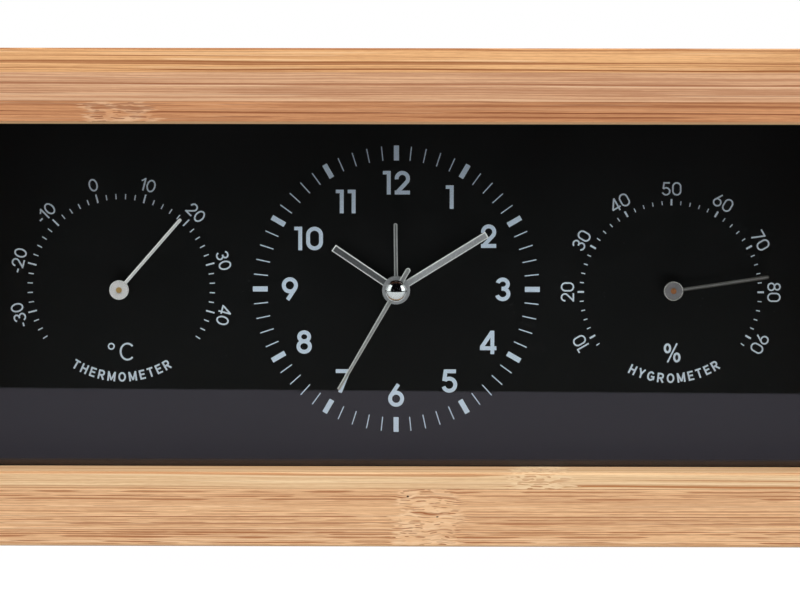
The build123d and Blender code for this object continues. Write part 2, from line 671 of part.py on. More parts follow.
def motor_stator():
    """Open yoke round the rotor, with two arms to the coil's core."""
    web_left = ROTOR.X - STATOR_WEB
    stator = block(
        STATOR_RIGHT - web_left,
        2 * STATOR_HALF_HEIGHT,
        STATOR_REAR,
        STATOR_FRONT,
        Vector((STATOR_RIGHT + web_left) / 2, ROTOR.Y),
    )
    for level in (-1, 1):
        stator += block(
            STATOR_RIGHT - STATOR_LEFT,
            STATOR_ARM,
            STATOR_REAR,
            STATOR_FRONT,
            Vector(
                (STATOR_RIGHT + STATOR_LEFT) / 2,
                ROTOR.Y + level * (STATOR_HALF_HEIGHT - STATOR_ARM / 2),
            ),
        )
    return stator - bore(ROTOR_RADIUS + ROTOR_AIR_GAP, STATOR_REAR, STATOR_FRONT, ROTOR)


def motor_coil_core():
    """Iron bar that joins the two arms behind the stator."""
    return block(
        CORE_WIDTH, 2 * STATOR_HALF_HEIGHT, CORE_REAR, STATOR_REAR, Vector(COIL_X, ROTOR.Y)
    )


def motor_coil():
    """Winding on its flanged bobbin, round the core between the arms."""
    length = 2 * (STATOR_HALF_HEIGHT - STATOR_ARM - COIL_CLEARANCE)
    coil = Cylinder(COIL_RADIUS, length)
    for end in (-1, 1):
        coil += Pos(0, 0, end * (length - COIL_FLANGE_PLATE) / 2) * Cylinder(
            COIL_FLANGE, COIL_FLANGE_PLATE
        )
    coil -= Box(CORE_WIDTH + 2 * COIL_CLEARANCE, CORE_PLATE + 2 * COIL_CLEARANCE, length + OVERRUN)
    return Pos(COIL_X, ROTOR.Y, CORE_DEPTH) * Rot(90, 0, 0) * coil


def circuit_board():
    """Board on its posts beside the alarm arbor."""
    return block(BOARD_WIDTH, BOARD_HEIGHT, BOARD_REAR, BOARD_FRONT, Vector(BOARD_X, BOARD_Y))


def quartz_crystal():
    """Can of the crystal, lying on the board."""
    can = Rot(0, 90, 0) * Cylinder(CRYSTAL_RADIUS, CRYSTAL_LENGTH)
    return Pos(BOARD_X, BOARD_Y, BOARD_REAR - CRYSTAL_RADIUS) * can


def alarm_buzzer():
    """Sounding disc on its ring seat."""
    seat = REAR_WALL_FRONT + BUZZER_SEAT
    return rod(BUZZER_RADIUS, seat, seat + BUZZER_PLATE, BUZZER)


def battery():
    """Cell with its rounded ends and its nub to the right."""
    body_length = BATTERY_LENGTH - BATTERY_NUB
    body = Cylinder(BATTERY_RADIUS, body_length)
    body = fillet(body.edges().filter_by(GeomType.CIRCLE), BATTERY_EDGE)
    nub = Pos(0, 0, BATTERY_LENGTH / 2) * Cylinder(BATTERY_NUB_RADIUS, BATTERY_NUB)
    cell = Pos(-BATTERY_NUB / 2, 0, 0) * Rot(0, 90, 0) * (body + nub)
    return Pos(0, BATTERY_Y, BATTERY_DEPTH) * cell


def battery_contact_positive():
    """Plate on the bay's right end with a raised pad that meets the nub."""
    wall = BAY_LENGTH / 2
    plate = Box(CONTACT_PLATE, CONTACT_SIZE, CONTACT_SIZE)
    pad_length = CONTACT_ROOM - CONTACT_TOUCH - CONTACT_PLATE
    pad = Rot(0, 90, 0) * Cylinder(CONTACT_PAD_RADIUS, pad_length)
    contact = plate + Pos(-(CONTACT_PLATE + pad_length) / 2, 0, 0) * pad
    return Pos(wall - CONTACT_PLATE / 2, BATTERY_Y, BATTERY_DEPTH) * contact


def battery_contact_negative():
    """Bent leaf on the bay's left end, whose crest meets the cell."""
    wall = -BAY_LENGTH / 2
    crest = CONTACT_ROOM - CONTACT_TOUCH
    half = CONTACT_SIZE / 2
    leaf = Polygon(
        (0, -half),
        (CONTACT_PLATE, -half),
        (crest, 0),
        (CONTACT_PLATE, half),
        (0, half),
        (0, half - CONTACT_PLATE),
        (crest - CONTACT_PLATE, 0),
        (0, CONTACT_PLATE - half),
        align=None,
    )
    return Pos(wall, BATTERY_Y, BATTERY_DEPTH) * prism(leaf, -half, half)


def second_wheel():
    """Arbor with its wheel and the pinion that drives the third wheel."""
    wheel = rod(SECOND_ARBOR, BOSS_FRONT - PIVOT_LENGTH, SECOND_LIFT + HAND_PLATE / 2)
    wheel += gear(
        SECOND_TEETH, SECOND_MODULE, SECOND_REAR, SECOND_FRONT, INTERMEDIATE_ARBOR_ANGLE, True
    )
    return wheel + gear(SECOND_LEAVES, THIRD_MODULE, SECOND_FRONT, THIRD_FRONT, THIRD_ARBOR_ANGLE)


def third_wheel():
    """Wheel and pinion that turn between the middle plate and the rear shell."""
    facing = THIRD_ARBOR_ANGLE + 180
    wheel = rod(PIVOT_RADIUS, SECOND_FRONT - PIVOT_LENGTH, PLATE_REAR + PIVOT_LENGTH, THIRD)
    wheel += rod(THIRD_ARBOR, THIRD_REAR - WHEEL_GAP / 2, PLATE_REAR - WHEEL_GAP / 2, THIRD)
    wheel += gear(THIRD_TEETH, THIRD_MODULE, THIRD_REAR, THIRD_FRONT, facing, True, THIRD)
    return wheel + gear(THIRD_LEAVES, MINUTE_MODULE, THIRD_FRONT, MINUTE_FRONT, facing, False, THIRD)


def minute_wheel():
    """Tube with the minute wheel behind the middle plate and the cannon pinion before it."""
    hand_front = FIRST_HAND_LIFT + 2 * HAND_PITCH + HAND_PLATE
    wheel = rod(MINUTE_TUBE, MINUTE_REAR, hand_front)
    wheel += gear(MINUTE_TEETH, MINUTE_MODULE, MINUTE_REAR, MINUTE_FRONT, THIRD_ARBOR_ANGLE, True)
    wheel += gear(CANNON_LEAVES, CANNON_MODULE, MOTION_REAR, MOTION_FRONT, MOTION_ARBOR_ANGLE)
    return wheel - bore(SECOND_ARBOR + RUNNING, MINUTE_REAR, hand_front)


def hour_wheel():
    """Hour wheel on its tube, which runs on the minute tube."""
    hand_front = FIRST_HAND_LIFT + HAND_PITCH + HAND_PLATE
    wheel = rod(HOUR_TUBE, HOUR_REAR, hand_front)
    wheel += gear(HOUR_TEETH, HOUR_MODULE, HOUR_REAR, HOUR_FRONT, MOTION_ARBOR_ANGLE, True)
    return wheel - bore(MINUTE_TUBE + RUNNING, HOUR_REAR, hand_front)


def alarm_wheel():
    """Alarm wheel on the outermost tube, which runs in the neck."""
    hand_front = FIRST_HAND_LIFT + HAND_PLATE
    wheel = rod(ALARM_TUBE, ALARM_REAR, hand_front)
    wheel += gear(ALARM_TEETH, ALARM_MODULE, ALARM_REAR, ALARM_FRONT, ALARM_SET_ARBOR_ANGLE, True)
    return wheel - bore(HOUR_TUBE + RUNNING, ALARM_REAR, hand_front)


def setting_arbor(at):
    """Arbor from the front shell out to a knob on the rear."""
    arbor = rod(SETTING_ARBOR, KNOB_FRONT - KNOB_HEIGHT / 2, FRONT_WALL_REAR - WHEEL_GAP / 2, at)
    return arbor + rod(
        PIVOT_RADIUS, FRONT_WALL_REAR - WHEEL_GAP / 2, FRONT_WALL_REAR + PIVOT_LENGTH - RUNNING, at
    )


def motion_wheel():
    """Motion wheel and its pinion on the time-setting arbor."""
    facing = MOTION_ARBOR_ANGLE + 180
    wheel = setting_arbor(MOTION)
    wheel += gear(MOTION_TEETH, CANNON_MODULE, MOTION_REAR, MOTION_FRONT, facing, True, MOTION)
    return wheel + gear(MOTION_LEAVES, HOUR_MODULE, MOTION_FRONT, HOUR_FRONT, facing, False, MOTION)


def alarm_set_gear():
    """Gear on the alarm-setting arbor."""
    facing = ALARM_SET_ARBOR_ANGLE + 180
    wheel = setting_arbor(ALARM_SET)
    return wheel + gear(
        ALARM_SET_TEETH, ALARM_MODULE, ALARM_REAR, ALARM_FRONT, facing, False, ALARM_SET
    )


def intermediate_wheel():
    """Wheel and pinion that run on a post of the rear shell."""
    wheel = gear(
        INTERMEDIATE_TEETH,
        ROTOR_MODULE,
        INTERMEDIATE_REAR,
        INTERMEDIATE_FRONT,
        ROTOR_ARBOR_ANGLE,
        True,
        INTERMEDIATE,
    )
    wheel += gear(
        INTERMEDIATE_LEAVES,
        SECOND_MODULE,
        INTERMEDIATE_FRONT,
        SECOND_FRONT,
        INTERMEDIATE_ARBOR_ANGLE + 180,
        False,
        INTERMEDIATE,
    )
    return wheel - bore(POST_RADIUS + RUNNING, INTERMEDIATE_REAR, SECOND_FRONT, INTERMEDIATE)


def motor_rotor():
    """Magnet and pinion on the motor's arbor."""
    magnet_front = STATOR_FRONT + ROTOR_AIR_GAP
    magnet_rear = STATOR_REAR - ROTOR_AIR_GAP
    rotor = rod(PIVOT_RADIUS, BOSS_FRONT - PIVOT_LENGTH, PLATE_REAR + PIVOT_LENGTH, ROTOR)
    rotor += rod(ROTOR_ARBOR, BOSS_FRONT + WHEEL_GAP / 2, PLATE_REAR - WHEEL_GAP / 2, ROTOR)
    rotor += rod(ROTOR_RADIUS, magnet_rear, magnet_front, ROTOR)
    return rotor + gear(
        ROTOR_LEAVES,
        ROTOR_MODULE,
        INTERMEDIATE_REAR,
        INTERMEDIATE_FRONT,
        ROTOR_ARBOR_ANGLE + 180,
        False,
        ROTOR,
    )


def knob(at):
    """Fluted knob that fits the end of a setting arbor."""
    rear = KNOB_FRONT - KNOB_HEIGHT
    body = rod(KNOB_RADIUS, rear, KNOB_FRONT)
    body = chamfer(body.edges().group_by(Axis.Z)[0], KNOB_CHAMFER)
    for flute in range(KNOB_FLUTES):
        place = polar(KNOB_RADIUS, 360 / KNOB_FLUTES * flute)
        body -= bore(FLUTE_RADIUS, rear, KNOB_FRONT, place)
    body -= rod(SETTING_ARBOR + PRESS_GAP, rear + KNOB_HEIGHT / 2, KNOB_FRONT + OVERRUN)
    return Pos(at.X, at.Y, 0) * body


def alarm_switch():
    """Slide with a thumb piece outside the rear wall and a keeper inside it."""
    place = Vector(SWITCH_X, SWITCH_Y)
    keeper_rear = REAR_WALL_FRONT + SWITCH_CLEARANCE
    thumb_front = MOVEMENT_REAR - SWITCH_CLEARANCE
    thumb = block(
        SWITCH_THUMB, SWITCH_THUMB_HEIGHT, thumb_front - SWITCH_THUMB_LIFT, thumb_front, place
    )
    thumb = chamfer(thumb.faces().sort_by(Axis.Z)[0].edges(), SWITCH_EDGE)
    stem = block(SWITCH_STEM, SWITCH_STEM_HEIGHT, thumb_front, keeper_rear, place)
    keeper = block(
        SWITCH_KEEPER, SWITCH_KEEPER_HEIGHT, keeper_rear, keeper_rear + SWITCH_KEEPER_PLATE, place
    )
    return thumb + stem + keeper


def bevelled(outline, rear, front, edge, bevel):
    """Plate with a straight edge at its rear and a bevel all round its front."""
    rise = front - rear - edge
    slope = math.degrees(math.atan2(bevel, rise))
    crown = extrude(Pos(0, 0, rear + edge) * outline, amount=rise, dir=(0, 0, 1), taper=slope)
    return prism(outline, rear, rear + edge) + crown


def square_baton(length, width):
    """Outline of a square-ended hand that lies along +y."""
    return Pos(0, length / 2) * Rectangle(width, length)


def round_baton(length, width):
    """Outline of a round-ended hand that lies along +y."""
    shaft = length - width / 2
    return square_baton(shaft, width) + Pos(0, shaft) * Circle(width / 2)


def hand_on_tube(outline, lift, tube_radius, angle):
    """Bevelled hand with its round boss and a collar that grips its tube."""
    fit = tube_radius + PRESS_GAP
    hand = bevelled(outline, lift, lift + HAND_PLATE, HAND_EDGE, HAND_BEVEL)
    hand += rod(BOSS_RADIUS, lift, lift + HAND_PLATE)
    hand += rod(fit + HAND_COLLAR_WALL, lift - HAND_COLLAR, lift)
    hand -= bore(fit, lift - HAND_COLLAR, lift + HAND_PLATE)
    return Rot(0, 0, -angle) * hand


def alarm_hand():
    """Short slender hand with a round tip, next to the dial."""
    outline = round_baton(ALARM_HAND_LENGTH, ALARM_HAND_WIDTH)
    return hand_on_tube(outline, FIRST_HAND_LIFT, ALARM_TUBE, ALARM_ANGLE)


def hour_hand():
    """Broad short hand."""
    outline = square_baton(HOUR_HAND_LENGTH, HOUR_HAND_WIDTH)
    return hand_on_tube(outline, FIRST_HAND_LIFT + HAND_PITCH, HOUR_TUBE, HOUR_ANGLE)


def minute_hand():
    """Broad long hand."""
    outline = square_baton(MINUTE_HAND_LENGTH, MINUTE_HAND_WIDTH)
    return hand_on_tube(outline, FIRST_HAND_LIFT + 2 * HAND_PITCH, MINUTE_TUBE, MINUTE_ANGLE)


def second_hand():
    """Tapered hand with a round-ended tail, on the second arbor."""
    fit = SECOND_ARBOR + PRESS_GAP
    front = SECOND_LIFT + HAND_PLATE
    blade = Polygon(
        (-SECOND_HAND_WIDTH / 2, 0),
        (SECOND_HAND_WIDTH / 2, 0),
        (SECOND_TIP_WIDTH / 2, SECOND_HAND_LENGTH),
        (-SECOND_TIP_WIDTH / 2, SECOND_HAND_LENGTH),
        align=None,
    )
    tail = Rot(0, 0, 180) * round_baton(SECOND_TAIL_LENGTH, SECOND_TAIL_WIDTH)
    hand = rod(CAP_RADIUS, SECOND_LIFT, front)
    for outline in (blade, tail):
        hand += bevelled(outline, SECOND_LIFT, front, HAND_EDGE, SECOND_BEVEL)
    hand += rod(fit + HAND_COLLAR_WALL, SECOND_LIFT - HAND_COLLAR, SECOND_LIFT)
    hand -= rod(fit, SECOND_LIFT - HAND_COLLAR - OVERRUN, SECOND_LIFT + HAND_PLATE / 2)
    return Rot(0, 0, -SECOND_ANGLE) * hand


def second_hand_cap():
    """Bright cap with a rim, a short wall and a low dome, on the second hand."""
    rise = CAP_HEIGHT - CAP_WALL
    dome_radius = (CAP_RADIUS**2 + rise**2) / (2 * rise)
    ball = Pos(0, 0, CAP_REAR + CAP_HEIGHT - dome_radius) * Sphere(dome_radius)
    dome = ball & rod(CAP_RADIUS, CAP_REAR, CAP_REAR + CAP_HEIGHT + OVERRUN)
    return dome + rod(CAP_RIM_RADIUS, CAP_REAR, CAP_REAR + CAP_RIM_HEIGHT)


def gauge_bush():
    """Flanged bush in the dial that carries the gauge's arbor."""
    bush = rod(BUSH_RADIUS, DIAL_REAR, BUSH_LIFT)
    bush += rod(BUSH_FLANGE_RADIUS, DIAL_REAR - BUSH_FLANGE, DIAL_REAR)
    return bush - bore(GAUGE_ARBOR + RUNNING, DIAL_REAR - BUSH_FLANGE, BUSH_LIFT)


def gauge_bracket():
    """Bar across the dial's bosses that clamps the bush and holds the coil's outer end."""
    bar = prism(SlotCenterToCenter(BRACKET_SCREW_SPAN, BRACKET_HEIGHT), BRACKET_REAR, BRACKET_FRONT)
    bar += rod(BRACKET_BOSS_RADIUS, BRACKET_FRONT, DIAL_REAR - BUSH_FLANGE)
    bar -= bore(GAUGE_COLLAR_RADIUS, BRACKET_REAR, DIAL_REAR)
    for place in GAUGE_SCREWS:
        bar -= bore(SCREW_RADIUS + SCREW_CLEARANCE, BRACKET_REAR, BRACKET_FRONT, place)
    post_x = STRIP_END + STRIP_THICKNESS / 2 + POST_GAP + POST_THICKNESS / 2
    return bar + block(POST_THICKNESS, POST_HEIGHT, STRIP_REAR, BRACKET_REAR, Vector(post_x, 0))


def gauge_coil():
    """Flat spiral strip, drawn as half circles about two centres."""

    def side(offset):
        arcs = []
        radius = STRIP_START
        centre = 0.0
        way = 1
        for _ in range(STRIP_HALF_TURNS):
            r = radius + offset
            arcs.append(
                ThreePointArc((centre + way * r, 0), (centre, way * r), (centre - way * r, 0))
            )
            centre += way * STRIP_PITCH / 2
            radius += STRIP_PITCH / 2
            way = -way
        return arcs

    outer = side(STRIP_THICKNESS / 2)
    inner = side(-STRIP_THICKNESS / 2)
    start = Line(inner[0] @ 0, outer[0] @ 0)
    end = Line(outer[-1] @ 1, inner[-1] @ 1)
    strip = make_face(outer + inner + [start, end])
    return prism(strip, STRIP_REAR, STRIP_FRONT)


def gauge_arbor():
    """Arbor through the bush, with the coil's collet behind and the pointer's collar in front."""
    arbor = rod(GAUGE_ARBOR, STRIP_REAR - STRIP_STAND / 2, POINTER_LIFT)
    arbor += rod(COLLET_RADIUS, STRIP_REAR - GAUGE_PLAY, BRACKET_REAR - GAUGE_PLAY)
    arbor += rod(GAUGE_COLLAR_RADIUS, BUSH_LIFT + GAUGE_PLAY, POINTER_LIFT)
    return arbor + rod(GAUGE_TIP_RADIUS, POINTER_LIFT, POINTER_LIFT + POINTER_PLATE + GAUGE_TIP)


def gauge_pointer(length, angle):
    """Slender pointer with a round tip and a round hub disc, its front bevelled."""
    front = POINTER_LIFT + POINTER_PLATE
    outline = round_baton(length, POINTER_WIDTH)
    pointer = bevelled(outline, POINTER_LIFT, front, POINTER_EDGE, POINTER_BEVEL)
    pointer += rod(POINTER_HUB_RADIUS, POINTER_LIFT, front)
    pointer -= bore(GAUGE_TIP_RADIUS + PRESS_GAP, POINTER_LIFT, front)
    return Rot(0, 0, -angle) * pointer


def gauge_screws():
    """Screws through both brackets into the dial's bosses."""
    places = [gauge + place for gauge in gauge_centres() for place in GAUGE_SCREWS]
    length = SCREW_LENGTH - EAR_THICKNESS + BRACKET_PLATE
    return Compound([screw(place, BRACKET_REAR, length) for place in places])


def gauge(name, at, pointer_length, angle):
    """All pieces of one gauge, set at its centre on the dial."""
    pieces = {
        f"{name}_bush": gauge_bush(),
        f"{name}_bracket": gauge_bracket(),
        f"{name}_coil": gauge_coil(),
        f"{name}_arbor": gauge_arbor(),
        f"{name}_pointer": gauge_pointer(pointer_length, angle),
    }
    return {node: Pos(at.X, at.Y, 0) * piece for node, piece in pieces.items()}


def all_pieces():
    """Every piece by its node's name, in the frame of the dial."""
    thermometer_at, hygrometer_at = gauge_centres()
    pieces = case_boards()
    for make in (
        front_glass,
        spacer_frame,
        dial_plate,
        dial_corner_blocks,
        back_panel,
        back_panel_screws,
        movement_front_case,
        movement_middle_plate,
        movement_rear_case,
        movement_screws,
        motor_stator,
        motor_coil_core,
        motor_coil,
        motor_rotor,
        intermediate_wheel,
        second_wheel,
        third_wheel,
        minute_wheel,
        motion_wheel,
        hour_wheel,
        alarm_wheel,
        alarm_set_gear,
        alarm_switch,
        circuit_board,
        quartz_crystal,
        alarm_buzzer,
        battery,
        battery_contact_positive,
        battery_contact_negative,
        alarm_hand,
        hour_hand,
        minute_hand,
        second_hand,
        second_hand_cap,
        gauge_screws,
    ):
        pieces[make.__name__] = make()
    pieces["time_set_knob"] = knob(MOTION)
    pieces["alarm_set_knob"] = knob(ALARM_SET)
    pieces |= gauge("thermometer", thermometer_at, THERMOMETER_POINTER_LENGTH, THERMOMETER_ANGLE)
    pieces |= gauge("hygrometer", hygrometer_at, HYGROMETER_POINTER_LENGTH, HYGROMETER_ANGLE)
    return pieces


# Stand the clock up: the dial's frame in the frame of the part
DIAL_FRAME = Plane(
    origin=(0, CASE_FRONT - CASE_DEPTH / 2, CASE_HEIGHT / 2 + DIAL_RAISE),
    x_dir=(1, 0, 0),
    z_dir=(0, -1, 0),
)

os.makedirs("parts", exist_ok=True)
for node_name, piece in all_pieces().items():
    export_step(DIAL_FRAME.location * piece, f"parts/{node_name}.step")
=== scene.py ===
"""Looks of a bamboo table clock with a thermometer on its left and a hygrometer on its right.

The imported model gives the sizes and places. This script adds the printed scales, the polished cap, the rims
and rivet heads of the gauges, the finish of every surface, and a plain white studio with a dark side behind
the camera.
"""
import logging
import math
from dataclasses import dataclass, field
from enum import Enum
from typing import Sequence

import bmesh
import bpy
import numpy as np
from mathutils import Euler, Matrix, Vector


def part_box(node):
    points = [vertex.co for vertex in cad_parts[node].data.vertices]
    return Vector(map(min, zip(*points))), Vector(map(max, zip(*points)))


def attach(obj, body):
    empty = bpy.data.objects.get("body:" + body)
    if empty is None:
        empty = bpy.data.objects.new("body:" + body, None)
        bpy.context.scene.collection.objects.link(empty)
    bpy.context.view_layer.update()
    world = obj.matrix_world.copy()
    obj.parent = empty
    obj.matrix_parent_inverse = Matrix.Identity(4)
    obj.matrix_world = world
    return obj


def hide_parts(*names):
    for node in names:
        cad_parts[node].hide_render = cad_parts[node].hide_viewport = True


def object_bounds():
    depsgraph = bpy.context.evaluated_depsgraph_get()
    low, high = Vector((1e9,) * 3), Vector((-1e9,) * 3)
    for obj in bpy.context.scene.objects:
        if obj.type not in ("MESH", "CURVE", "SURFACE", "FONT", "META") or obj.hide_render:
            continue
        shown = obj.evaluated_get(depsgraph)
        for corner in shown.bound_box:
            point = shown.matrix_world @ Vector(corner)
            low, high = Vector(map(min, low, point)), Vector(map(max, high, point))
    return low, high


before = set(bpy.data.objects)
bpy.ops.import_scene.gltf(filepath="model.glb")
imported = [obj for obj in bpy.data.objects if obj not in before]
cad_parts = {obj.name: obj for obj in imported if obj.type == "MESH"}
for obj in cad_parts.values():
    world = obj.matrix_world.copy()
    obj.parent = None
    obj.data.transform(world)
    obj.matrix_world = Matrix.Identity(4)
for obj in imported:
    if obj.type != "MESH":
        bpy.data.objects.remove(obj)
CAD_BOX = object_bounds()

LOG = logging.getLogger("table_clock")
MM = 0.001

Colour = tuple[float, float, float, float]
Triple = tuple[float, float, float]
Span = tuple[float, ...]


def srgb(red: float, green: float, blue: float) -> Colour:
    """Linear colour of an sRGB triple from 0 to 255.

    Args:
        red: Red level.
        green: Green level.
        blue: Blue level.

    Returns:
        Linear red, green and blue with an alpha of one.
    """
    levels = np.array([red, green, blue]) / 255.0
    linear = np.where(levels <= 0.04045, levels / 12.92, ((levels + 0.055) / 1.055) ** 2.4)
    return (float(linear[0]), float(linear[1]), float(linear[2]), 1.0)


def spread(colour: Colour, share: float) -> tuple[Colour, Colour]:
    """A darker and a lighter colour, by a share to either side."""
    dark, light = ([min(1.0, level * (1 + way * share)) for level in colour[:3]] for way in (-1, 1))
    return (*dark, 1.0), (*light, 1.0)


@dataclass(frozen=True)
class Signal:
    """An output of a node, which takes part in sums and products of its graph."""

    graph: "Graph"
    socket: bpy.types.NodeSocket

    def __add__(self, other: "Value") -> "Signal":
        """The sum of both."""
        return self.graph.math("ADD", self, other)

    def __sub__(self, other: "Value") -> "Signal":
        """This less the other."""
        return self.graph.math("SUBTRACT", self, other)

    def __rsub__(self, other: "Value") -> "Signal":
        """The other less this."""
        return self.graph.math("SUBTRACT", other, self)

    def __mul__(self, other: "Value") -> "Signal":
        """The product of both."""
        return self.graph.math("MULTIPLY", self, other)

    def __truediv__(self, other: "Value") -> "Signal":
        """This divided by the other."""
        return self.graph.math("DIVIDE", self, other)

    def __abs__(self) -> "Signal":
        """The amount without its sign."""
        return self.graph.math("ABSOLUTE", self)

    __radd__ = __add__
    __rmul__ = __mul__


Value = Signal | float | Colour | Triple
Axes = Sequence[Signal]


class Graph:
    """Short hand for the node tree of one material or world."""

    def __init__(self, owner: bpy.types.Material | bpy.types.World) -> None:
        """Empty the owner's tree."""
        owner.use_nodes = True
        self.owner = owner
        self.tree = owner.node_tree
        self.tree.nodes.clear()

    @classmethod
    def named(cls, name: str) -> "Graph":
        """The tree of a new material."""
        return cls(bpy.data.materials.new(name))

    def feed(self, socket: bpy.types.NodeSocket, value: Value) -> None:
        """Link a signal into an input, or set the input to a constant."""
        if isinstance(value, Signal):
            self.tree.links.new(value.socket, socket)
        else:
            socket.default_value = value

    def node(self, kind: str, inputs: dict[str | int, Value], **settings: object) -> bpy.types.Node:
        """Add a node.

        Args:
            kind: Blender's name of the node type.
            inputs: Values by the name or number of the input.
            **settings: Attributes of the node.

        Returns:
            The new node.
        """
        made = self.tree.nodes.new(kind)
        for key, setting in settings.items():
            setattr(made, key, setting)
        for key, value in inputs.items():
            self.feed(made.inputs[key], value)
        return made

    def read(
        self, kind: str, output: str | int, inputs: dict[str | int, Value] | None = None, **settings: object
    ) -> Signal:
        """Add a node and take one of its outputs."""
        return Signal(self, self.node(kind, inputs or {}, **settings).outputs[output])

    def math(self, operation: str, *values: Value, clamp: bool = False) -> Signal:
        """Result of the operation of that name in Blender, kept from 0 to 1 if it is clamped."""
        return self.read("ShaderNodeMath", 0, dict(enumerate(values)), operation=operation, use_clamp=clamp)

    def parts(self, source: Signal, kind: str = "XYZ") -> list[Signal]:
        """The three parts of a vector, or those of a colour if the kind is Color."""
        return [Signal(self, part) for part in self.node(f"ShaderNodeSeparate{kind}", {0: source}).outputs]

    def place(self) -> tuple[Signal, ...]:
        """The object's own coordinates in millimetres, as x, y and z."""
        return tuple(axis * (1 / MM) for axis in self.parts(self.read("ShaderNodeTexCoord", "Object")))

    def vector(self, x: Value, y: Value, z: Value) -> Signal:
        """A vector from three numbers or signals."""
        return self.read("ShaderNodeCombineXYZ", 0, {"X": x, "Y": y, "Z": z})

    def dice(self, cell: Signal, output: str) -> Signal:
        """A random value or colour that belongs to a vector."""
        return self.read("ShaderNodeTexWhiteNoise", output, {"Vector": cell}, noise_dimensions="3D")

    def noise(self, vector: Signal, seed: Value, detail: float, roughness: float) -> Signal:
        """Smooth noise from 0 to 1 with features about a unit long, in octaves that weigh less and less."""
        inputs = {"Vector": vector, "W": seed, "Scale": 1.0, "Detail": detail, "Roughness": roughness}
        return self.read("ShaderNodeTexNoise", 0, inputs, noise_dimensions="4D")

    def ray(self, kind: str) -> Signal:
        """One for rays of a kind, and else nothing."""
        return self.read("ShaderNodeLightPath", f"Is {kind} Ray")

    def ease(self, value: Value, low: float, high: float, start: float = 0.0, end: float = 1.0) -> Signal:
        """Smooth passage from start to end as the value goes from low to high."""
        inputs = {"Value": value, "From Min": low, "From Max": high, "To Min": start, "To Max": end}
        return self.read("ShaderNodeMapRange", 0, inputs, interpolation_type="SMOOTHSTEP")

    def blend(self, share: Value, first: Value, second: Value) -> Signal:
        """Mix of two colours, by the share of the second."""
        return self.read("ShaderNodeMix", 2, {0: share, 6: first, 7: second}, data_type="RGBA")

    def bands(self, share: Value, colours: Sequence[Colour]) -> Signal:
        """One of several colours, in equal bands of the share.

        Args:
            share: Where to read, from 0 to 1.
            colours: The colours in order.

        Returns:
            The colour.
        """
        made = self.node("ShaderNodeValToRGB", {0: share})
        ramp = made.color_ramp
        ramp.interpolation = "CONSTANT"
        while len(ramp.elements) < len(colours):
            ramp.elements.new(1.0)
        for index, colour in enumerate(colours):
            ramp.elements[index].position = index / len(colours)
            ramp.elements[index].color = colour
        return Signal(self, made.outputs[0])

    def bump(self, height: Signal, depth_mm: float, strength: float) -> Signal:
        """Normal of a relief whose height goes from 0 to 1 over a depth."""
        inputs = {"Height": height, "Distance": depth_mm * MM, "Strength": strength}
        return self.read("ShaderNodeBump", 0, inputs)

    def close(self, shader: bpy.types.Node) -> bpy.types.Material | bpy.types.World:
        """Link a shader to the tree's output.

        Args:
            shader: The shader's node.

        Returns:
            The finished material or world.
        """
        output = self.tree.nodes.new(f"ShaderNodeOutput{type(self.owner).__name__}")
        self.tree.links.new(shader.outputs[0], output.inputs[0])
        return self.owner

    def surface(self, **inputs: Value) -> bpy.types.Material:
        """Close the tree with a Principled shader, its inputs named with underscores for spaces."""
        named = {key.replace("_", " "): value for key, value in inputs.items()}
        return self.close(self.node("ShaderNodeBsdfPrincipled", named))


@dataclass(frozen=True)
class Pattern:
    """A noise: the lengths of its features along three axes, its octaves and the weight of the finer ones."""

    lengths_mm: Triple
    detail: float = 2.0
    roughness: float = 0.5

    def read(self, g: Graph, axes: Axes, seed: Value) -> Signal:
        """The noise in a graph, from 0 to 1."""
        spot = g.vector(*(axis / length for axis, length in zip(axes, self.lengths_mm)))
        return g.noise(spot, seed, self.detail, self.roughness)


class Grain(Enum):
    """Which way a board's fibres run."""

    ALONG_X = 0
    ALONG_Z = 2


@dataclass(frozen=True)
class Ply:
    """One layer of a board, from the outer face inwards, with the length and pitch of its dark lines."""

    until_mm: float
    light: Colour
    dark: Colour
    line_mm: float
    pitch_mm: float
    strength: float


@dataclass(frozen=True)
class Knuckle:
    """A joint of the bamboo cane, which shows in one ply as a patch of short wavy dashes and pale blots."""

    along_mm: float
    ply: int
    reach_mm: float


@dataclass(frozen=True)
class Rows:
    """Lines along the grain, at most one in each row of a pitch.

    A noise with features of the length shows the lines. Its two levels are where a line starts and where it
    has its whole width. The darkness is the least one, and what a row's random number adds to it.
    """

    seed_step: float
    pitch_mm: Value
    length_mm: Value
    shows: Span
    half_share: float
    darkness: Span


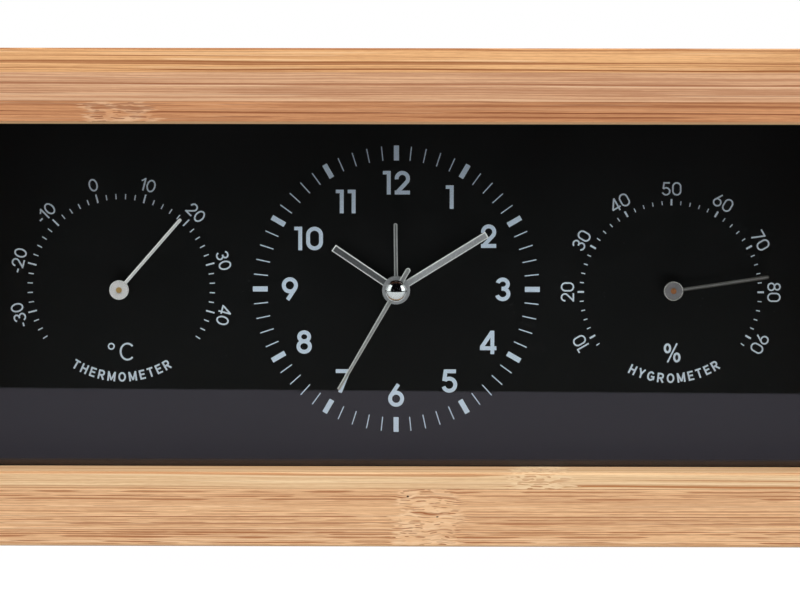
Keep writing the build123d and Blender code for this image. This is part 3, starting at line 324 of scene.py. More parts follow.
@dataclass(frozen=True)
class BambooFinish:
    """Laminated bamboo under a thin satin lacquer.

    Patterns have lengths along, across and into the board. A span is the levels that a signal goes between
    and what they become.
    """

    name: str
    grain: Grain
    face_mm: float
    inward: float
    plies: tuple[Ply, ...]
    knuckles: tuple[Knuckle, ...]
    seed: float
    front_mm: float
    seed_spread: float = 60.0
    strip_mm: float = 19.0
    strip_lag: float = 0.37
    knuckle_step_mm: float = 43.0
    fibre_lean: float = 0.8
    strip_lean: float = 0.010
    ragged: Pattern = Pattern((7.0, 0.42, 2.0))
    ragged_height: float = 1.9
    wave: Pattern = Pattern((70.0, 6.0, 8.0))
    wave_mm: float = 1.2
    swirl: Pattern = Pattern((6.0, 2.2, 2.5))
    swirl_mm: float = 1.9
    tone: Pattern = Pattern((90.0, 1.6, 6.0), 3.0, 0.6)
    hair: Pattern = Pattern((26.0, 0.2, 0.5), 3.0, 0.65)
    pores: Pattern = Pattern((2.4, 0.13, 0.3), 2.0, 0.6)
    blot: Pattern = Pattern((3.6, 1.0, 2.0))
    pit_spacing_mm: Triple = (3.6, 2.6, 4.0)
    row_slice_mm: float = 6.0
    row_stride: float = 7.31
    row_softness: float = 0.05
    row_wander: float = 0.5
    row_narrowest: float = 0.35
    line_sets: tuple[Triple, ...] = ((1.0, 1.0, 1.0), (0.47, 0.6, 0.8), (0.3, 0.35, 0.5))
    line_shows: Span = (0.38, 0.52)
    line_half_share: float = 0.3
    line_seed_step: float = 17.0
    faintest_line: float = 0.3
    fair_rows: Rows = Rows(41.0, 0.8, 40.0, (0.44, 0.58), 0.34, (0.0, 0.6))
    long_dashes: Rows = Rows(71.0, 1.05, 4.6, (0.42, 0.62), 0.42, (0.2, 0.4))
    short_dashes: Rows = Rows(83.0, 0.5, 2.4, (0.46, 0.58), 0.36, (0.4, 0.5))
    reach_span: Span = (0.1, 1.0, 1.0, 0.0)
    pit_span: Span = (0.05, 0.1, 1.0, 0.0)
    pit_chance: Span = (0.5, 0.6)
    near_span: Span = (0.38, 0.56)
    hump_span: Span = (0.0, 0.12)
    tone_span: Span = (0.36, 0.68)
    hair_span: Span = (0.4, 0.72, 0.0, 0.26)
    pore_span: Span = (0.35, 0.8, 0.0, 0.24)
    blot_span: Span = (0.38, 0.7, 0.1, 0.6)
    # Painted light on rounded edges that face down and painted shade on those that face up: slant levels and
    # shares.
    worn_span: Span = (0.04, 0.3, 0.0, 0.8)
    shaded_span: Span = (0.04, 0.3, 0.0, 0.2)
    seam_span: Span = (0.02, 0.14, 0.3, 0.0)
    gloss_span: Span = (0.3, 0.7, 0.48, 0.64)
    warm_share: float = 0.28
    pale_share: float = 0.45
    pale: Colour = srgb(255, 232, 196)
    # Pale warm colour of the painted light on down-facing edges.
    worn: Colour = srgb(255, 212, 158)
    pit: Colour = srgb(62, 34, 18)
    glue: Colour = srgb(150, 92, 52)
    relief_mm: float = 0.08
    pore_relief: float = 0.4
    line_relief: float = 0.7

    def material(self) -> bpy.types.Material:
        """Dark lines in rows along the grain over a slow tone and fine fibres, with a pattern for each strip.

        A ply is the count of ply edges passed from the outer face. A strip is a band of the depth. Both
        pick a random seed. The rows of lines lean with the depth, so that they show on all four faces.
        A knuckle ends the lines and puts wavy dashes, pale blots and pits there.

        Returns:
            The material.
        """
        g = Graph.named(self.name)
        axes = g.place()
        along = axes[self.grain.value]
        depth = axes[1]
        across = (axes[2 - self.grain.value] - self.face_mm) * self.inward
        ply = g.math("GREATER_THAN", across, self.plies[0].until_mm)
        for layer in self.plies[1:-1]:
            ply = ply + g.math("GREATER_THAN", across, layer.until_mm)
        strip = g.math("FLOOR", ply * self.strip_lag + depth / self.strip_mm)
        chance = g.dice(g.vector(ply, strip, self.seed), "Value")
        seed = g.math("MULTIPLY_ADD", chance, self.seed_spread, self.seed)
        share = (ply + 0.5) / len(self.plies)

        hump = self.knuckle_mask(g, along, ply, strip)
        ragged = self.ragged.read(g, (along, across, depth), seed)
        uneven = (ragged - 0.5) * self.ragged_height + hump
        near = g.ease(uneven, *self.near_span) * g.ease(hump, *self.hump_span)
        fibres = (along, self.bent_across(g, (along, across, depth), seed, chance, hump), depth)
        tone, hair, pores, blot = (
            pattern.read(g, fibres, seed) for pattern in (self.tone, self.hair, self.pores, self.blot)
        )
        plain = self.lines(g, fibres, seed, share)
        dashes = [self.row_lines(g, fibres, seed, rows) for rows in (self.long_dashes, self.short_dashes)]
        shade = plain + near * (g.math("MAXIMUM", *dashes) - plain)

        light = g.bands(share, [layer.light for layer in self.plies])
        dark = g.bands(share, [layer.dark for layer in self.plies])
        pale = g.blend(self.pale_share, light, self.pale)
        base = g.blend(g.ease(tone, *self.tone_span), light, g.blend(self.warm_share, light, dark))
        base = g.blend(g.ease(hair, *self.hair_span), base, dark)
        base = g.blend(g.ease(pores, *self.pore_span), base, dark)
        base = g.blend(self.row_lines(g, fibres, seed, self.fair_rows), base, pale)
        base = g.blend(near * g.ease(blot, *self.blot_span), base, pale)
        # Painted light and shade on the rounded front edges, by their slant.
        colour = self.edges(g, g.blend(shade, base, dark), dark)
        colour = g.blend(near * self.pits(g, fibres), colour, self.pit)
        return g.surface(
            Base_Color=g.blend(self.seam(g, across), colour, self.glue),
            Roughness=g.ease(hair, *self.gloss_span),
            Specular_IOR_Level=0.25,
            Normal=g.bump(pores * self.pore_relief - shade * self.line_relief, self.relief_mm, strength=0.6),
        )

    def knuckle_mask(self, g: Graph, along: Signal, ply: Signal, strip: Signal) -> Value:
        """Nearness to the knuckles: a smooth hump along the grain, in the knuckle's own ply.

        Each strip behind the front one has its knuckle a step further along.

        Args:
            g: The graph.
            along: Coordinate along the grain.
            ply: Number of the ply.
            strip: Number of the strip.

        Returns:
            Nearness from 0 to 1.
        """
        mask: Value = 0.0
        for knuckle in self.knuckles:
            first = math.floor(self.strip_lag * knuckle.ply + self.front_mm / self.strip_mm)
            middle = (strip - first) * self.knuckle_step_mm + knuckle.along_mm
            hump = g.ease(abs(along - middle) / knuckle.reach_mm, *self.reach_span)
            mask = g.math("MAXIMUM", mask, hump * g.math("COMPARE", ply, knuckle.ply, 0.5))
        return mask

    def bent_across(self, g: Graph, axes: Axes, seed: Signal, chance: Signal, hump: Value) -> Signal:
        """Distance across the fibres: a slight lean and a slow wave, and a stronger one in the knuckles.

        Args:
            g: The graph.
            axes: Coordinates along, across and in depth.
            seed: Seed of the strip.
            chance: Random number of the strip.
            hump: Nearness to a knuckle.

        Returns:
            The distance.
        """
        bent = (axes[2] - self.front_mm) * self.fibre_lean + axes[1]
        bent = bent + axes[0] * ((chance - 0.5) * self.strip_lean)
        bent = bent + (self.wave.read(g, axes, seed) - 0.5) * self.wave_mm
        return bent + hump * (self.swirl.read(g, axes, seed) - 0.5) * self.swirl_mm

    def row_lines(self, g: Graph, fibres: Axes, seed: Signal, rows: Rows) -> Signal:
        """Darkness of one set of rows.

        A row has random numbers for the line's place in it, its width and its depth of colour. A noise
        along the row says where the line shows, and its width grows with that noise, so its ends taper.

        Args:
            g: The graph.
            fibres: Coordinates along the grain, across the bent fibres and in depth.
            seed: Seed of the strip.
            rows: The rows.

        Returns:
            Darkness from 0 to 1.
        """
        own = seed + rows.seed_step
        place = fibres[1] / rows.pitch_mm + own
        row = g.math("FLOOR", place)
        lots = g.parts(g.dice(g.vector(row, own, 0.5), "Color"), "Color")
        spot = g.vector(fibres[0] / rows.length_mm, row * self.row_stride, fibres[2] / self.row_slice_mm)
        shown = g.ease(g.noise(spot, own, detail=1.0, roughness=0.5), *rows.shows)
        width = lots[1] * (1 - self.row_narrowest) + self.row_narrowest
        half = shown * (width * rows.half_share) - self.row_softness
        away = abs(place - row - 0.5 - (lots[0] - 0.5) * self.row_wander)
        present = g.ease(half - away, -self.row_softness, self.row_softness)
        return present * (lots[2] * rows.darkness[1] + rows.darkness[0])

    def by_ply(self, g: Graph, share: Signal, size: str) -> Signal:
        """One of the plies' sizes, for the ply at a share.

        Args:
            g: The graph.
            share: The ply's place among the plies, from 0 to 1.
            size: Name of the size.

        Returns:
            The size.
        """
        values = [getattr(layer, size) for layer in self.plies]
        top = max(values)
        return g.bands(share, [(value / top,) * 3 + (1.0,) for value in values]) * top

    def lines(self, g: Graph, fibres: Axes, seed: Signal, share: Signal) -> Signal:
        """Darkness of the plain grain: sets of lines from long and strong to short and faint.

        Each set takes its part of what the ones before leave light, so that the darkness stays below one.

        Args:
            g: The graph.
            fibres: Coordinates along the grain, across the bent fibres and in depth.
            seed: Seed of the strip.
            share: The ply's place among the plies, from 0 to 1.

        Returns:
            Darkness from 0 to 1.
        """
        sizes = ("line_mm", "pitch_mm", "strength")
        length, pitch, strength = (self.by_ply(g, share, size) for size in sizes)
        light: Value = 1.0
        for number, (fine, short, part) in enumerate(self.line_sets):
            rows = Rows(
                self.line_seed_step * number, pitch * fine, length * short, self.line_shows,
                self.line_half_share, (self.faintest_line * part, (1 - self.faintest_line) * part),
            )
            light = light * (1.0 - self.row_lines(g, fibres, seed, rows) * strength)
        return 1.0 - light

    def edges(self, g: Graph, colour: Signal, dark: Signal) -> Signal:
        """Rounded front edges: painted shade where they face up, and painted light, a pale warm colour, where
        they face down.

        The slant is the product of the normal's parts to the front and up, which is nothing on flat faces.

        Args:
            g: The graph.
            colour: Colour of the wood.
            dark: Colour of its dark lines.

        Returns:
            The colour with painted light and shade on its edges.
        """
        normal = g.parts(g.read("ShaderNodeNewGeometry", "Normal"))
        slant = normal[1] * normal[2]
        worn = g.blend(g.ease(slant, *self.worn_span), colour, self.worn)
        return g.blend(g.ease(slant * -1.0, *self.shaded_span), worn, dark)

    def pits(self, g: Graph, fibres: Axes) -> Signal:
        """Small dark holes at some of a set of scattered points.

        Args:
            g: The graph.
            fibres: Coordinates along the grain, across the bent fibres and in depth.

        Returns:
            One in a hole, and else nothing.
        """
        spot = g.vector(*(axis / length for axis, length in zip(fibres, self.pit_spacing_mm)))
        inputs = {"Vector": spot, "Scale": 1.0, "Randomness": 1.0}
        made = g.node("ShaderNodeTexVoronoi", inputs, voronoi_dimensions="3D", feature="F1").outputs
        chance = g.parts(Signal(g, made["Color"]), "Color")[0]
        return g.ease(Signal(g, made["Distance"]), *self.pit_span) * g.ease(chance, *self.pit_chance)

    def seam(self, g: Graph, across: Signal) -> Value:
        """Thin glue lines at the ply edges, as narrow humps across the board.

        Args:
            g: The graph.
            across: Distance from the outer face.

        Returns:
            Strength of the glue line.
        """
        strength: Value = 0.0
        for layer in self.plies[:-1]:
            strength = g.math("MAXIMUM", strength, g.ease(abs(across - layer.until_mm), *self.seam_span))
        return strength


@dataclass(frozen=True)
class GlassFinish:
    """Clear float glass: light goes straight through, and each face mirrors a little."""

    name: str
    facing_share: float
    clear: Colour = srgb(250, 252, 251)
    mirror: Colour = srgb(246, 239, 255)

    def material(self) -> bpy.types.Material:
        """Transparent and mirror shaders.

        The mirrored share is the share at a right angle, plus the rest times the fifth power of one less
        the cosine of the angle of view.

        Returns:
            The material.
        """
        g = Graph.named(self.name)
        slant = g.read("ShaderNodeLayerWeight", "Facing", {"Blend": 0.5})
        share = g.math("POWER", slant, 5.0) * (1 - self.facing_share) + self.facing_share
        clear = g.read("ShaderNodeBsdfTransparent", 0, {"Color": self.clear})
        mirror = g.read("ShaderNodeBsdfAnisotropic", 0, {"Color": self.mirror, "Roughness": 0.0})
        return g.close(g.node("ShaderNodeMixShader", {0: share, 1: clear, 2: mirror}))


@dataclass(frozen=True)
class MouldedFinish:
    """Plastic, paint or ink: one colour with a fine mottle, a little relief and specks of dust."""

    name: str
    colour: Colour
    roughness: float
    mottle: float = 0.08
    grain_mm: float = 0.35
    relief_mm: float = 0.02
    dust: float = 0.0
    specular: float = 0.5
    broad: Pattern = Pattern((14.0,) * 3)
    speck: Pattern = Pattern((0.3,) * 3, 1.0)
    rare: Pattern = Pattern((6.0,) * 3)
    broad_weight: float = 0.8
    speck_span: Span = (0.74, 0.8)
    rare_span: Span = (0.56, 0.66)
    gloss_spread: float = 0.06
    lint: Colour = srgb(150, 148, 150)

    def material(self) -> bpy.types.Material:
        """Mottle from two sizes of noise, dust from the rare crests of a third.

        Returns:
            The material.
        """
        g = Graph.named(self.name)
        axes = g.place()
        fine = Pattern((self.grain_mm,) * 3, detail=3.0, roughness=0.6).read(g, axes, seed=1.0)
        broad = self.broad.read(g, axes, seed=2.0) - 0.5
        share = g.math("MULTIPLY_ADD", broad, self.broad_weight, fine, clamp=True)
        colour = g.blend(share, *spread(self.colour, self.mottle))
        if self.dust:
            crest = g.ease(self.speck.read(g, axes, seed=5.0), *self.speck_span)
            lint = crest * g.ease(self.rare.read(g, axes, seed=6.0), *self.rare_span)
            colour = g.blend(lint * self.dust, colour, self.lint)
        return g.surface(
            Base_Color=colour,
            Roughness=g.ease(
                share, 0.2, 0.8, self.roughness - self.gloss_spread, self.roughness + self.gloss_spread
            ),
            Specular_IOR_Level=self.specular,
            Normal=g.bump(fine, self.relief_mm, strength=0.6),
        )


@dataclass(frozen=True)
class MetalFinish:
    """Bare metal with a brushed or frosted grain, and slanted edges that may get a colour of their own: a
    painted highlight where that colour is bright, painted shade where it is dull.
    """

    name: str
    colour: Colour
    roughness: float
    grain_mm: Triple = (0.12, 0.12, 0.12)
    turn_deg: float = 0.0
    contrast: float = 0.25
    relief_mm: float = 0.01
    metallic: float = 1.0
    # Colour painted on slanted edges, with its metallic level and the lean where it starts: a painted
    # highlight where bright, painted shade where dull.
    bevel: Colour | None = None
    bevel_metallic: float = 0.25
    bevel_span: Span = (0.94, 0.98, 1.0, 0.0)
    patch: Pattern = Pattern((2.2,) * 3)
    patch_weight: float = 0.6
    gloss_spread: float = 0.08
    smoothest: float = 0.02

    def material(self) -> bpy.types.Material:
        """Noise stretched along the brush strokes, which run at an angle in the dial's plane.

        A slanted edge is where the surface leans away from the dial's own direction by more than some
        degrees. There the given edge colour is painted in with less metal: a painted highlight where it is
        bright, painted shade where it is dull.

        Returns:
            The material.
        """
        g = Graph.named(self.name)
        turned = g.read("ShaderNodeMapping", 0, {
            "Vector": g.read("ShaderNodeTexCoord", "Object"),
            "Rotation": (0.0, -math.radians(self.turn_deg), 0.0),
            "Scale": tuple(1 / (length * MM) for length in self.grain_mm),
        }, vector_type="POINT")
        grain = g.noise(turned, seed=3.0, detail=3.0, roughness=0.65)
        patch = self.patch.read(g, g.place(), seed=4.0) - 0.5
        share = g.math("MULTIPLY_ADD", patch, self.patch_weight, grain, clamp=True)
        colour = g.blend(share, *spread(self.colour, self.contrast))
        metallic: Value = self.metallic
        if self.bevel:
            # Paint the edge colour on the slanted edges: painted highlight where bright, painted shade where
            # dull.
            lean = abs(g.parts(g.read("ShaderNodeNewGeometry", "Normal"))[1])
            bevel_painted_light_share = g.ease(lean, *self.bevel_span)
            colour = g.blend(bevel_painted_light_share, colour, self.bevel)
            metallic = bevel_painted_light_share * (self.bevel_metallic - self.metallic) + self.metallic
        smooth = max(self.smoothest, self.roughness - self.gloss_spread)
        return g.surface(
            Base_Color=colour,
            Metallic=metallic,
            Roughness=g.ease(share, 0.25, 0.75, self.roughness + self.gloss_spread, smooth),
            Normal=g.bump(grain, self.relief_mm, strength=0.5),
        )


Finish = BambooFinish | GlassFinish | MouldedFinish | MetalFinish


def add_mesh(name: str, points: np.ndarray, faces: np.ndarray, smooth: bool = False) -> bpy.types.Object:
    """Put arrays of points and four-sided faces into a new object at the origin.

    Args:
        name: Name of the piece.
        points: One row of three coordinates a point, in metres.
        faces: One row of four point numbers a face.
        smooth: Whether the faces shade as a smooth surface.

    Returns:
        The object.
    """
    mesh = bpy.data.meshes.new(name)
    mesh.vertices.add(len(points))
    mesh.vertices.foreach_set("co", np.ascontiguousarray(points, dtype=np.float32).ravel())
    mesh.loops.add(faces.size)
    mesh.loops.foreach_set("vertex_index", faces.astype(np.int32).ravel())
    mesh.polygons.add(len(faces))
    mesh.polygons.foreach_set("loop_start", np.arange(0, faces.size, 4, dtype=np.int32))
    mesh.polygons.foreach_set("use_smooth", np.full(len(faces), smooth))
    mesh.update(calc_edges=True)
    mesh.validate()
    piece = bpy.data.objects.new(name, mesh)
    bpy.context.scene.collection.objects.link(piece)
    return piece


def grid_faces(rows: int, columns: int, wrap_rows: bool = False, wrap_columns: bool = False) -> np.ndarray:
    """Four-sided faces of a grid of points that is numbered row by row.

    Args:
        rows: Points along the first parameter.
        columns: Points along the second parameter.
        wrap_rows: Whether the last row joins the first.
        wrap_columns: Whether the last column joins the first.

    Returns:
        One row of four point numbers a face.
    """
    row = np.arange(rows if wrap_rows else rows - 1)[:, None]
    column = np.arange(columns if wrap_columns else columns - 1)[None, :]
    next_row = (row + 1) % rows
    next_column = (column + 1) % columns
    corners = (
        row * columns + column,
        row * columns + next_column,
        next_row * columns + next_column,
        next_row * columns + column,
    )
    return np.stack(corners, axis=-1).reshape(-1, 4)


def dress(piece: bpy.types.Object, finish: bpy.types.Material, body: str) -> bpy.types.Object:
    """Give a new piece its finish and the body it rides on.

    Args:
        piece: The piece.
        finish: Its finish.
        body: Name of the body.

    Returns:
        The piece.
    """
    piece.data.materials.append(finish)
    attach(piece, body)
    return piece


def way(bearing: float) -> np.ndarray:
    """Direction in the dial's plane, by degrees clockwise from the top."""
    return np.array([math.sin(math.radians(bearing)), math.cos(math.radians(bearing))])


def middle_of(node: str) -> np.ndarray:
    """Where the middle of a piece stands in the dial's plane, in millimetres."""
    low, high = (np.array(corner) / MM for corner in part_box(node))
    return ((low + high) / 2)[[0, 2]]


@dataclass(frozen=True)
class Stroke:
    """The centre line of one pen stroke, in shares of the letter's height."""

    path: np.ndarray
    closed: bool = False
    weight: float = 1.0


Drawn = tuple[list[Stroke], float]


def line(*points: tuple[float, float]) -> np.ndarray:
    """Straight runs through a few points."""
    return np.array(points, dtype=float)


def stem(x: float, top: float = 1.0) -> Stroke:
    """An upright stroke from the foot line."""
    return Stroke(line((x, 0.0), (x, top)))


def bar(y: float, start: float, end: float, weight: float = 1.0) -> Stroke:
    """A level stroke."""
    return Stroke(line((start, y), (end, y)), weight=weight)


def arc(
    centre: tuple[float, float], radii: tuple[float, float], start: float, stop: float, steps: int = 40
) -> np.ndarray:
    """Part of an ellipse: centre plus radii times the cosine and sine of an angle that runs evenly.

    Args:
        centre: Middle of the ellipse.
        radii: Half width and half height.
        start: First angle in degrees, counted from the right and growing to the left over the top.
        stop: Last angle in degrees.
        steps: Count of points.

    Returns:
        One row of two coordinates a point.
    """
    angle = np.radians(np.linspace(start, stop, steps))
    return np.stack([centre[0] + radii[0] * np.cos(angle), centre[1] + radii[1] * np.sin(angle)], axis=1)


def ring(centre: tuple[float, float], radii: tuple[float, float]) -> Stroke:
    """A whole ellipse as a closed stroke."""
    return Stroke(arc(centre, radii, 0.0, 360.0, 65)[:-1], True)


class Style(Enum):
    """Which of two drawn alphabets is used."""

    GEOMETRIC = "round forms, a square flag on the one"
    NARROW = "upright forms, a slanted flag on the one"


@dataclass(frozen=True)
class Pen:
    """Draws plain letters and figures with strokes of one width, one unit tall, in shares of that height."""

    stroke: float
    style: Style
    width: float = 1.0

    def glyph(self, sign: str) -> Drawn:
        """The strokes of one sign, from zero on, and its width."""
        return (self.bowls() | self.straights() | self.letters())[sign]

    def bowls(self) -> dict[str, Drawn]:
        """The signs with bowls: 0, 2, 3, 5, 6, 8, 9, percent and C.

        The 0 is two half rounds with straight sides, or an ellipse in the narrow style. The side of the 6
        touches its bowl. In the bowl's own units the touching point is turned from the side's top by the
        angle whose cosine is one over the top's distance. The 9 is the 6 turned half round.

        Returns:
            Strokes and width by sign.
        """
        h = self.stroke / 2
        shares = (0.715, 0.645, 0.65, 0.68, 0.655, 0.80)
        w0, w2, w3, w5, w8, wc = (share * self.width for share in shares)
        rx = w0 / 2 - h
        zero = ring((w0 / 2, 0.5), (rx, 0.5 - h))
        if self.style is Style.GEOMETRIC:
            halves = arc((w0 / 2, 1 - h - rx), (rx, rx), 0, 180), arc((w0 / 2, h + rx), (rx, rx), 180, 360)
            zero = Stroke(np.concatenate(halves), True)

        rx = w2 / 2 - h
        ry = min(rx, 0.26)
        head = arc((w2 / 2, 1 - h - ry), (rx, ry), 188, -42)
        two = [Stroke(np.concatenate([head, [[h * 0.9, h * 0.7]]])), bar(h, 0.0, w2)]

        rx = w3 / 2 - h
        waist = 0.53
        upper = (1 - h - waist) / 2
        lower = (waist - h) / 2
        three = [
            Stroke(arc((w3 / 2, waist + upper), (rx * 0.9, upper), 165, -90)),
            Stroke(arc((w3 / 2, h + lower), (rx, lower), 90, -165)),
            bar(waist, w3 / 2 - 0.05, w3 / 2 + 0.02),
        ]

        rx = w5 / 2 - h
        roof = line((0.92 * w5, 1 - h), (0.27 * w5, 1 - h), (0.18 * w5, 0.5))
        five = [Stroke(roof), Stroke(arc((w5 / 2, h + 0.26), (rx, 0.26), 138, -162))]

        ry = min(0.26, 0.5 - h)
        middle = np.array([w5 / 2, h + ry])
        top = np.array([0.64 * w5, 1 - 0.45 * h])
        unit = (top - middle) / np.array([rx, ry])
        turn = math.atan2(unit[1], unit[0]) + math.acos(1 / float(np.hypot(*unit)))
        touch = middle + np.array([rx * math.cos(turn), ry * math.sin(turn)])
        six = [ring((middle[0], middle[1]), (rx, ry)), Stroke(np.stack([top, touch]))]
        nine = [Stroke(np.array([w5, 1.0]) - item.path, item.closed) for item in six]

        rx = w8 / 2 - h
        small = 0.46 * (0.5 - h)
        large = (0.5 - h) - small
        eight = [ring((w8 / 2, 1 - h - small), (rx * 0.86, small)), ring((w8 / 2, h + large), (rx, large))]

        rx, ry, wide = 0.138, 0.204, 0.883
        rings = [ring((rx + h, 1 - ry - h), (rx, ry)), ring((wide - rx - h, ry + h), (rx, ry))]
        percent = rings + [Stroke(line((0.69, 1.0), (0.2, 0.0)), weight=0.72)]
        open_round = Stroke(arc((wc / 2, 0.5), (wc / 2 - h * 0.4, 0.5 - h), 42, 318, 60))
        return {
            "0": ([zero], w0), "2": (two, w2), "3": (three, w3), "5": (five, w5), "6": (six, w5),
            "8": (eight, w8), "9": (nine, w5), "%": (percent, wide), "C": ([open_round], wc),
        }

    def straights(self) -> dict[str, Drawn]:
        """The straight signs: 1, 4, 7 and the minus.

        The slant of the 4 has its outer edge from the bar's top left corner to the stem's.

        Returns:
            Strokes and width by sign.
        """
        h = self.stroke / 2
        w1 = 0.335
        x = w1 - h
        flag = bar(1 - 0.9 * h, 0.0, x, 0.9)
        if self.style is Style.NARROW:
            flag = Stroke(line((0.0, 0.73), (0.5 * x, 0.82), (x, 1.0 - 0.4 * h)), weight=0.9)
        one = [stem(x), flag]

        w4 = 0.70 * self.width
        x = 0.75 * w4
        height = 0.25
        outer = np.array([[0.0, height + h], [x - h, 1.0]])
        run = (outer[1] - outer[0]) / np.linalg.norm(outer[1] - outer[0])
        four = [stem(x), bar(height, 0.0, w4), Stroke(outer + h * np.array([run[1], -run[0]]))]

        w7 = 0.62 * self.width
        seven = [bar(1 - h, 0.0, w7), Stroke(line((w7 - 1.05 * h, 1 - 1.3 * h), (0.28 * w7, 0.0)))]
        return {"1": (one, w1), "4": (four, w4), "7": (seven, w7), "-": ([bar(0.36, 0.0, 0.3)], 0.3)}

    def letters(self) -> dict[str, Drawn]:
        """The capitals of the two words.

        Returns:
            Strokes and width by letter.
        """
        h = self.stroke / 2
        we, wg, wh, wm, wo, wt = (0.60, 0.78, 0.70, 0.84, 0.80, 0.64)
        e = [stem(h), bar(1 - h, h, we), bar(0.52, h, 0.92 * we), bar(h, h, we)]
        hook = line((0.52 * wg, 0.46), (wg - h, 0.46), (wg - h, 0.14))
        g = [Stroke(arc((wg / 2, 0.5), (wg / 2 - h, 0.5 - h), 42, 322, 60)), Stroke(hook)]
        m = [stem(h), stem(wm - h)]
        for x in (1.2 * h, wm - 1.2 * h):
            m.append(Stroke(line((x, 1 - 0.6 * h), (wm / 2, 0.1)), weight=0.9))
        waist = 0.46
        ry = (1 - h - waist) / 2
        bend = arc((0.40, waist + ry), (0.28 - h, ry), 90, -90, 24)
        bowl = np.concatenate([line((h, 1 - h)), bend, line((h, waist))])
        r = [stem(h), Stroke(bowl), Stroke(line((0.34, waist), (wh - 0.7 * h, 0.0)))]
        y = [Stroke(line((x, 1.0), (wh / 2, 0.44))) for x in (0.7 * h, wh - 0.7 * h)]
        return {
            "E": (e, we), "G": (g, wg), "H": ([stem(h), stem(wh - h), bar(0.52, h, wh - h)], wh),
            "M": (m, wm), "O": ([ring((wo / 2, 0.5), (wo / 2 - h, 0.5 - h))], wo), "R": (r, wh),
            "T": ([bar(1 - h, 0.0, wt), stem(wt / 2, 1 - h)], wt), "Y": (y + [stem(wh / 2, 0.5)], wh),
        }


@dataclass
class Print:
    """Raised ink on the dial, gathered stroke by stroke in the dial's plane, in millimetres."""

    name: str
    ink_mm: float = 0.03
    layer_mm: float = 0.004
    least_cosine: float = 0.5
    points: list[np.ndarray] = field(default_factory=list)
    faces: list[np.ndarray] = field(default_factory=list)
    count: int = 0

    def stroke(self, path: np.ndarray, width: float, closed: bool = False, layer: int = 0) -> None:
        """Carry a flat bar's section along a path.

        The section is a rectangle, the stroke's width by the ink's height. At each point of the path it
        stands across the mean of the two runs that meet there, and is widened by the cosine of half
        their turn, so that straight edges stay straight through a corner.

        Args:
            path: One row of two coordinates a point.
            width: Width of the stroke.
            closed: Whether the end joins the start.
            layer: Count of strokes of the same sign laid before it, each of which it tops by a little.
        """
        top = self.ink_mm + layer * self.layer_mm
        runs = np.roll(path, -1, axis=0) - path
        if not closed:
            runs[-1] = runs[-2]
        runs /= np.linalg.norm(runs, axis=1, keepdims=True)
        before = np.roll(runs, 1, axis=0)
        if not closed:
            before[0] = runs[0]
        normal = np.stack([-(runs + before)[:, 1], (runs + before)[:, 0]], axis=1)
        normal /= np.linalg.norm(normal, axis=1, keepdims=True)
        across = np.stack([-runs[:, 1], runs[:, 0]], axis=1)
        cosine = np.clip(np.sum(normal * across, axis=1, keepdims=True), self.least_cosine, 1.0)
        offset = normal / cosine * width / 2
        section = [(path + offset, 0.0), (path - offset, 0.0), (path - offset, top), (path + offset, top)]
        block = np.stack(
            [np.column_stack([flat, np.full(len(path), height)]) for flat, height in section], axis=1
        )
        faces = grid_faces(len(path), 4, wrap_rows=closed, wrap_columns=True)
        if not closed:
            last = 4 * (len(path) - 1)
            faces = np.concatenate([faces, [[3, 2, 1, 0]], [[last, last + 1, last + 2, last + 3]]])
        self.points.append(block.reshape(-1, 3))
        self.faces.append(faces + self.count)
        self.count += block.shape[0] * 4

    def tick(self, centre: np.ndarray, bearing: float, ends: tuple[float, float], width: float) -> None:
        """A short bar that points at a centre, its ends at two distances from it."""
        self.stroke(centre + np.outer(ends, way(bearing)), width)

    def word(
        self, text: str, pen: Pen, height: float, at: np.ndarray, turn: float = 0.0, gap: float = 0.17
    ) -> None:
        """Signs side by side, centred on a place.

        Args:
            text: The signs.
            pen: The pen that draws them.
            height: Their height.
            at: Where the middle of the word goes.
            turn: Degrees by which the word is turned to the left.
            gap: Space between signs, as a share of the height.
        """
        drawn = [pen.glyph(sign) for sign in text]
        total = sum(width for _, width in drawn) + gap * (len(drawn) - 1)
        angle = math.radians(turn)
        spin = np.array([[math.cos(angle), math.sin(angle)], [-math.sin(angle), math.cos(angle)]])
        start = -total / 2
        for strokes, width in drawn:
            for layer, item in enumerate(strokes):
                path = (item.path + np.array([start, -0.5])) * height
                self.stroke(path @ spin + at, pen.stroke * item.weight * height, item.closed, layer)
            start += width + gap

    def arched(
        self, text: str, pen: Pen, height: float, centre: np.ndarray, radius: float, span: Span
    ) -> None:
        """Letters on an arc below a centre, their tops towards it.

        Args:
            text: The letters.
            pen: The pen that draws them.
            height: Their height.
            centre: Centre of the arc.
            radius: Distance from the centre to the middle of the letters.
            span: Angles of the two ends in degrees from straight down, to the right.
        """
        widths = np.array([pen.glyph(sign)[1] * height for sign in text])
        length = math.radians(span[1] - span[0]) * radius
        gap = (length - widths.sum()) / (len(text) - 1)
        middles = np.cumsum(widths + gap) - gap - widths / 2
        for sign, middle in zip(text, middles):
            angle = span[0] + math.degrees(middle / radius)
            self.word(sign, pen, height, centre + way(180.0 - angle) * radius, angle)

    def build(self, dial_y: float, finish: bpy.types.Material) -> bpy.types.Object:
        """Stand the ink up on the dial and let it ride on the case.

        Args:
            dial_y: Where the dial's front is, in metres.
            finish: The ink.

        Returns:
            The piece.
        """
        flat = np.concatenate(self.points) * MM
        standing = np.column_stack([flat[:, 0], dial_y - flat[:, 2], flat[:, 1]])
        piece = add_mesh(self.name, standing, np.concatenate(self.faces))
        return dress(piece, finish, "case")


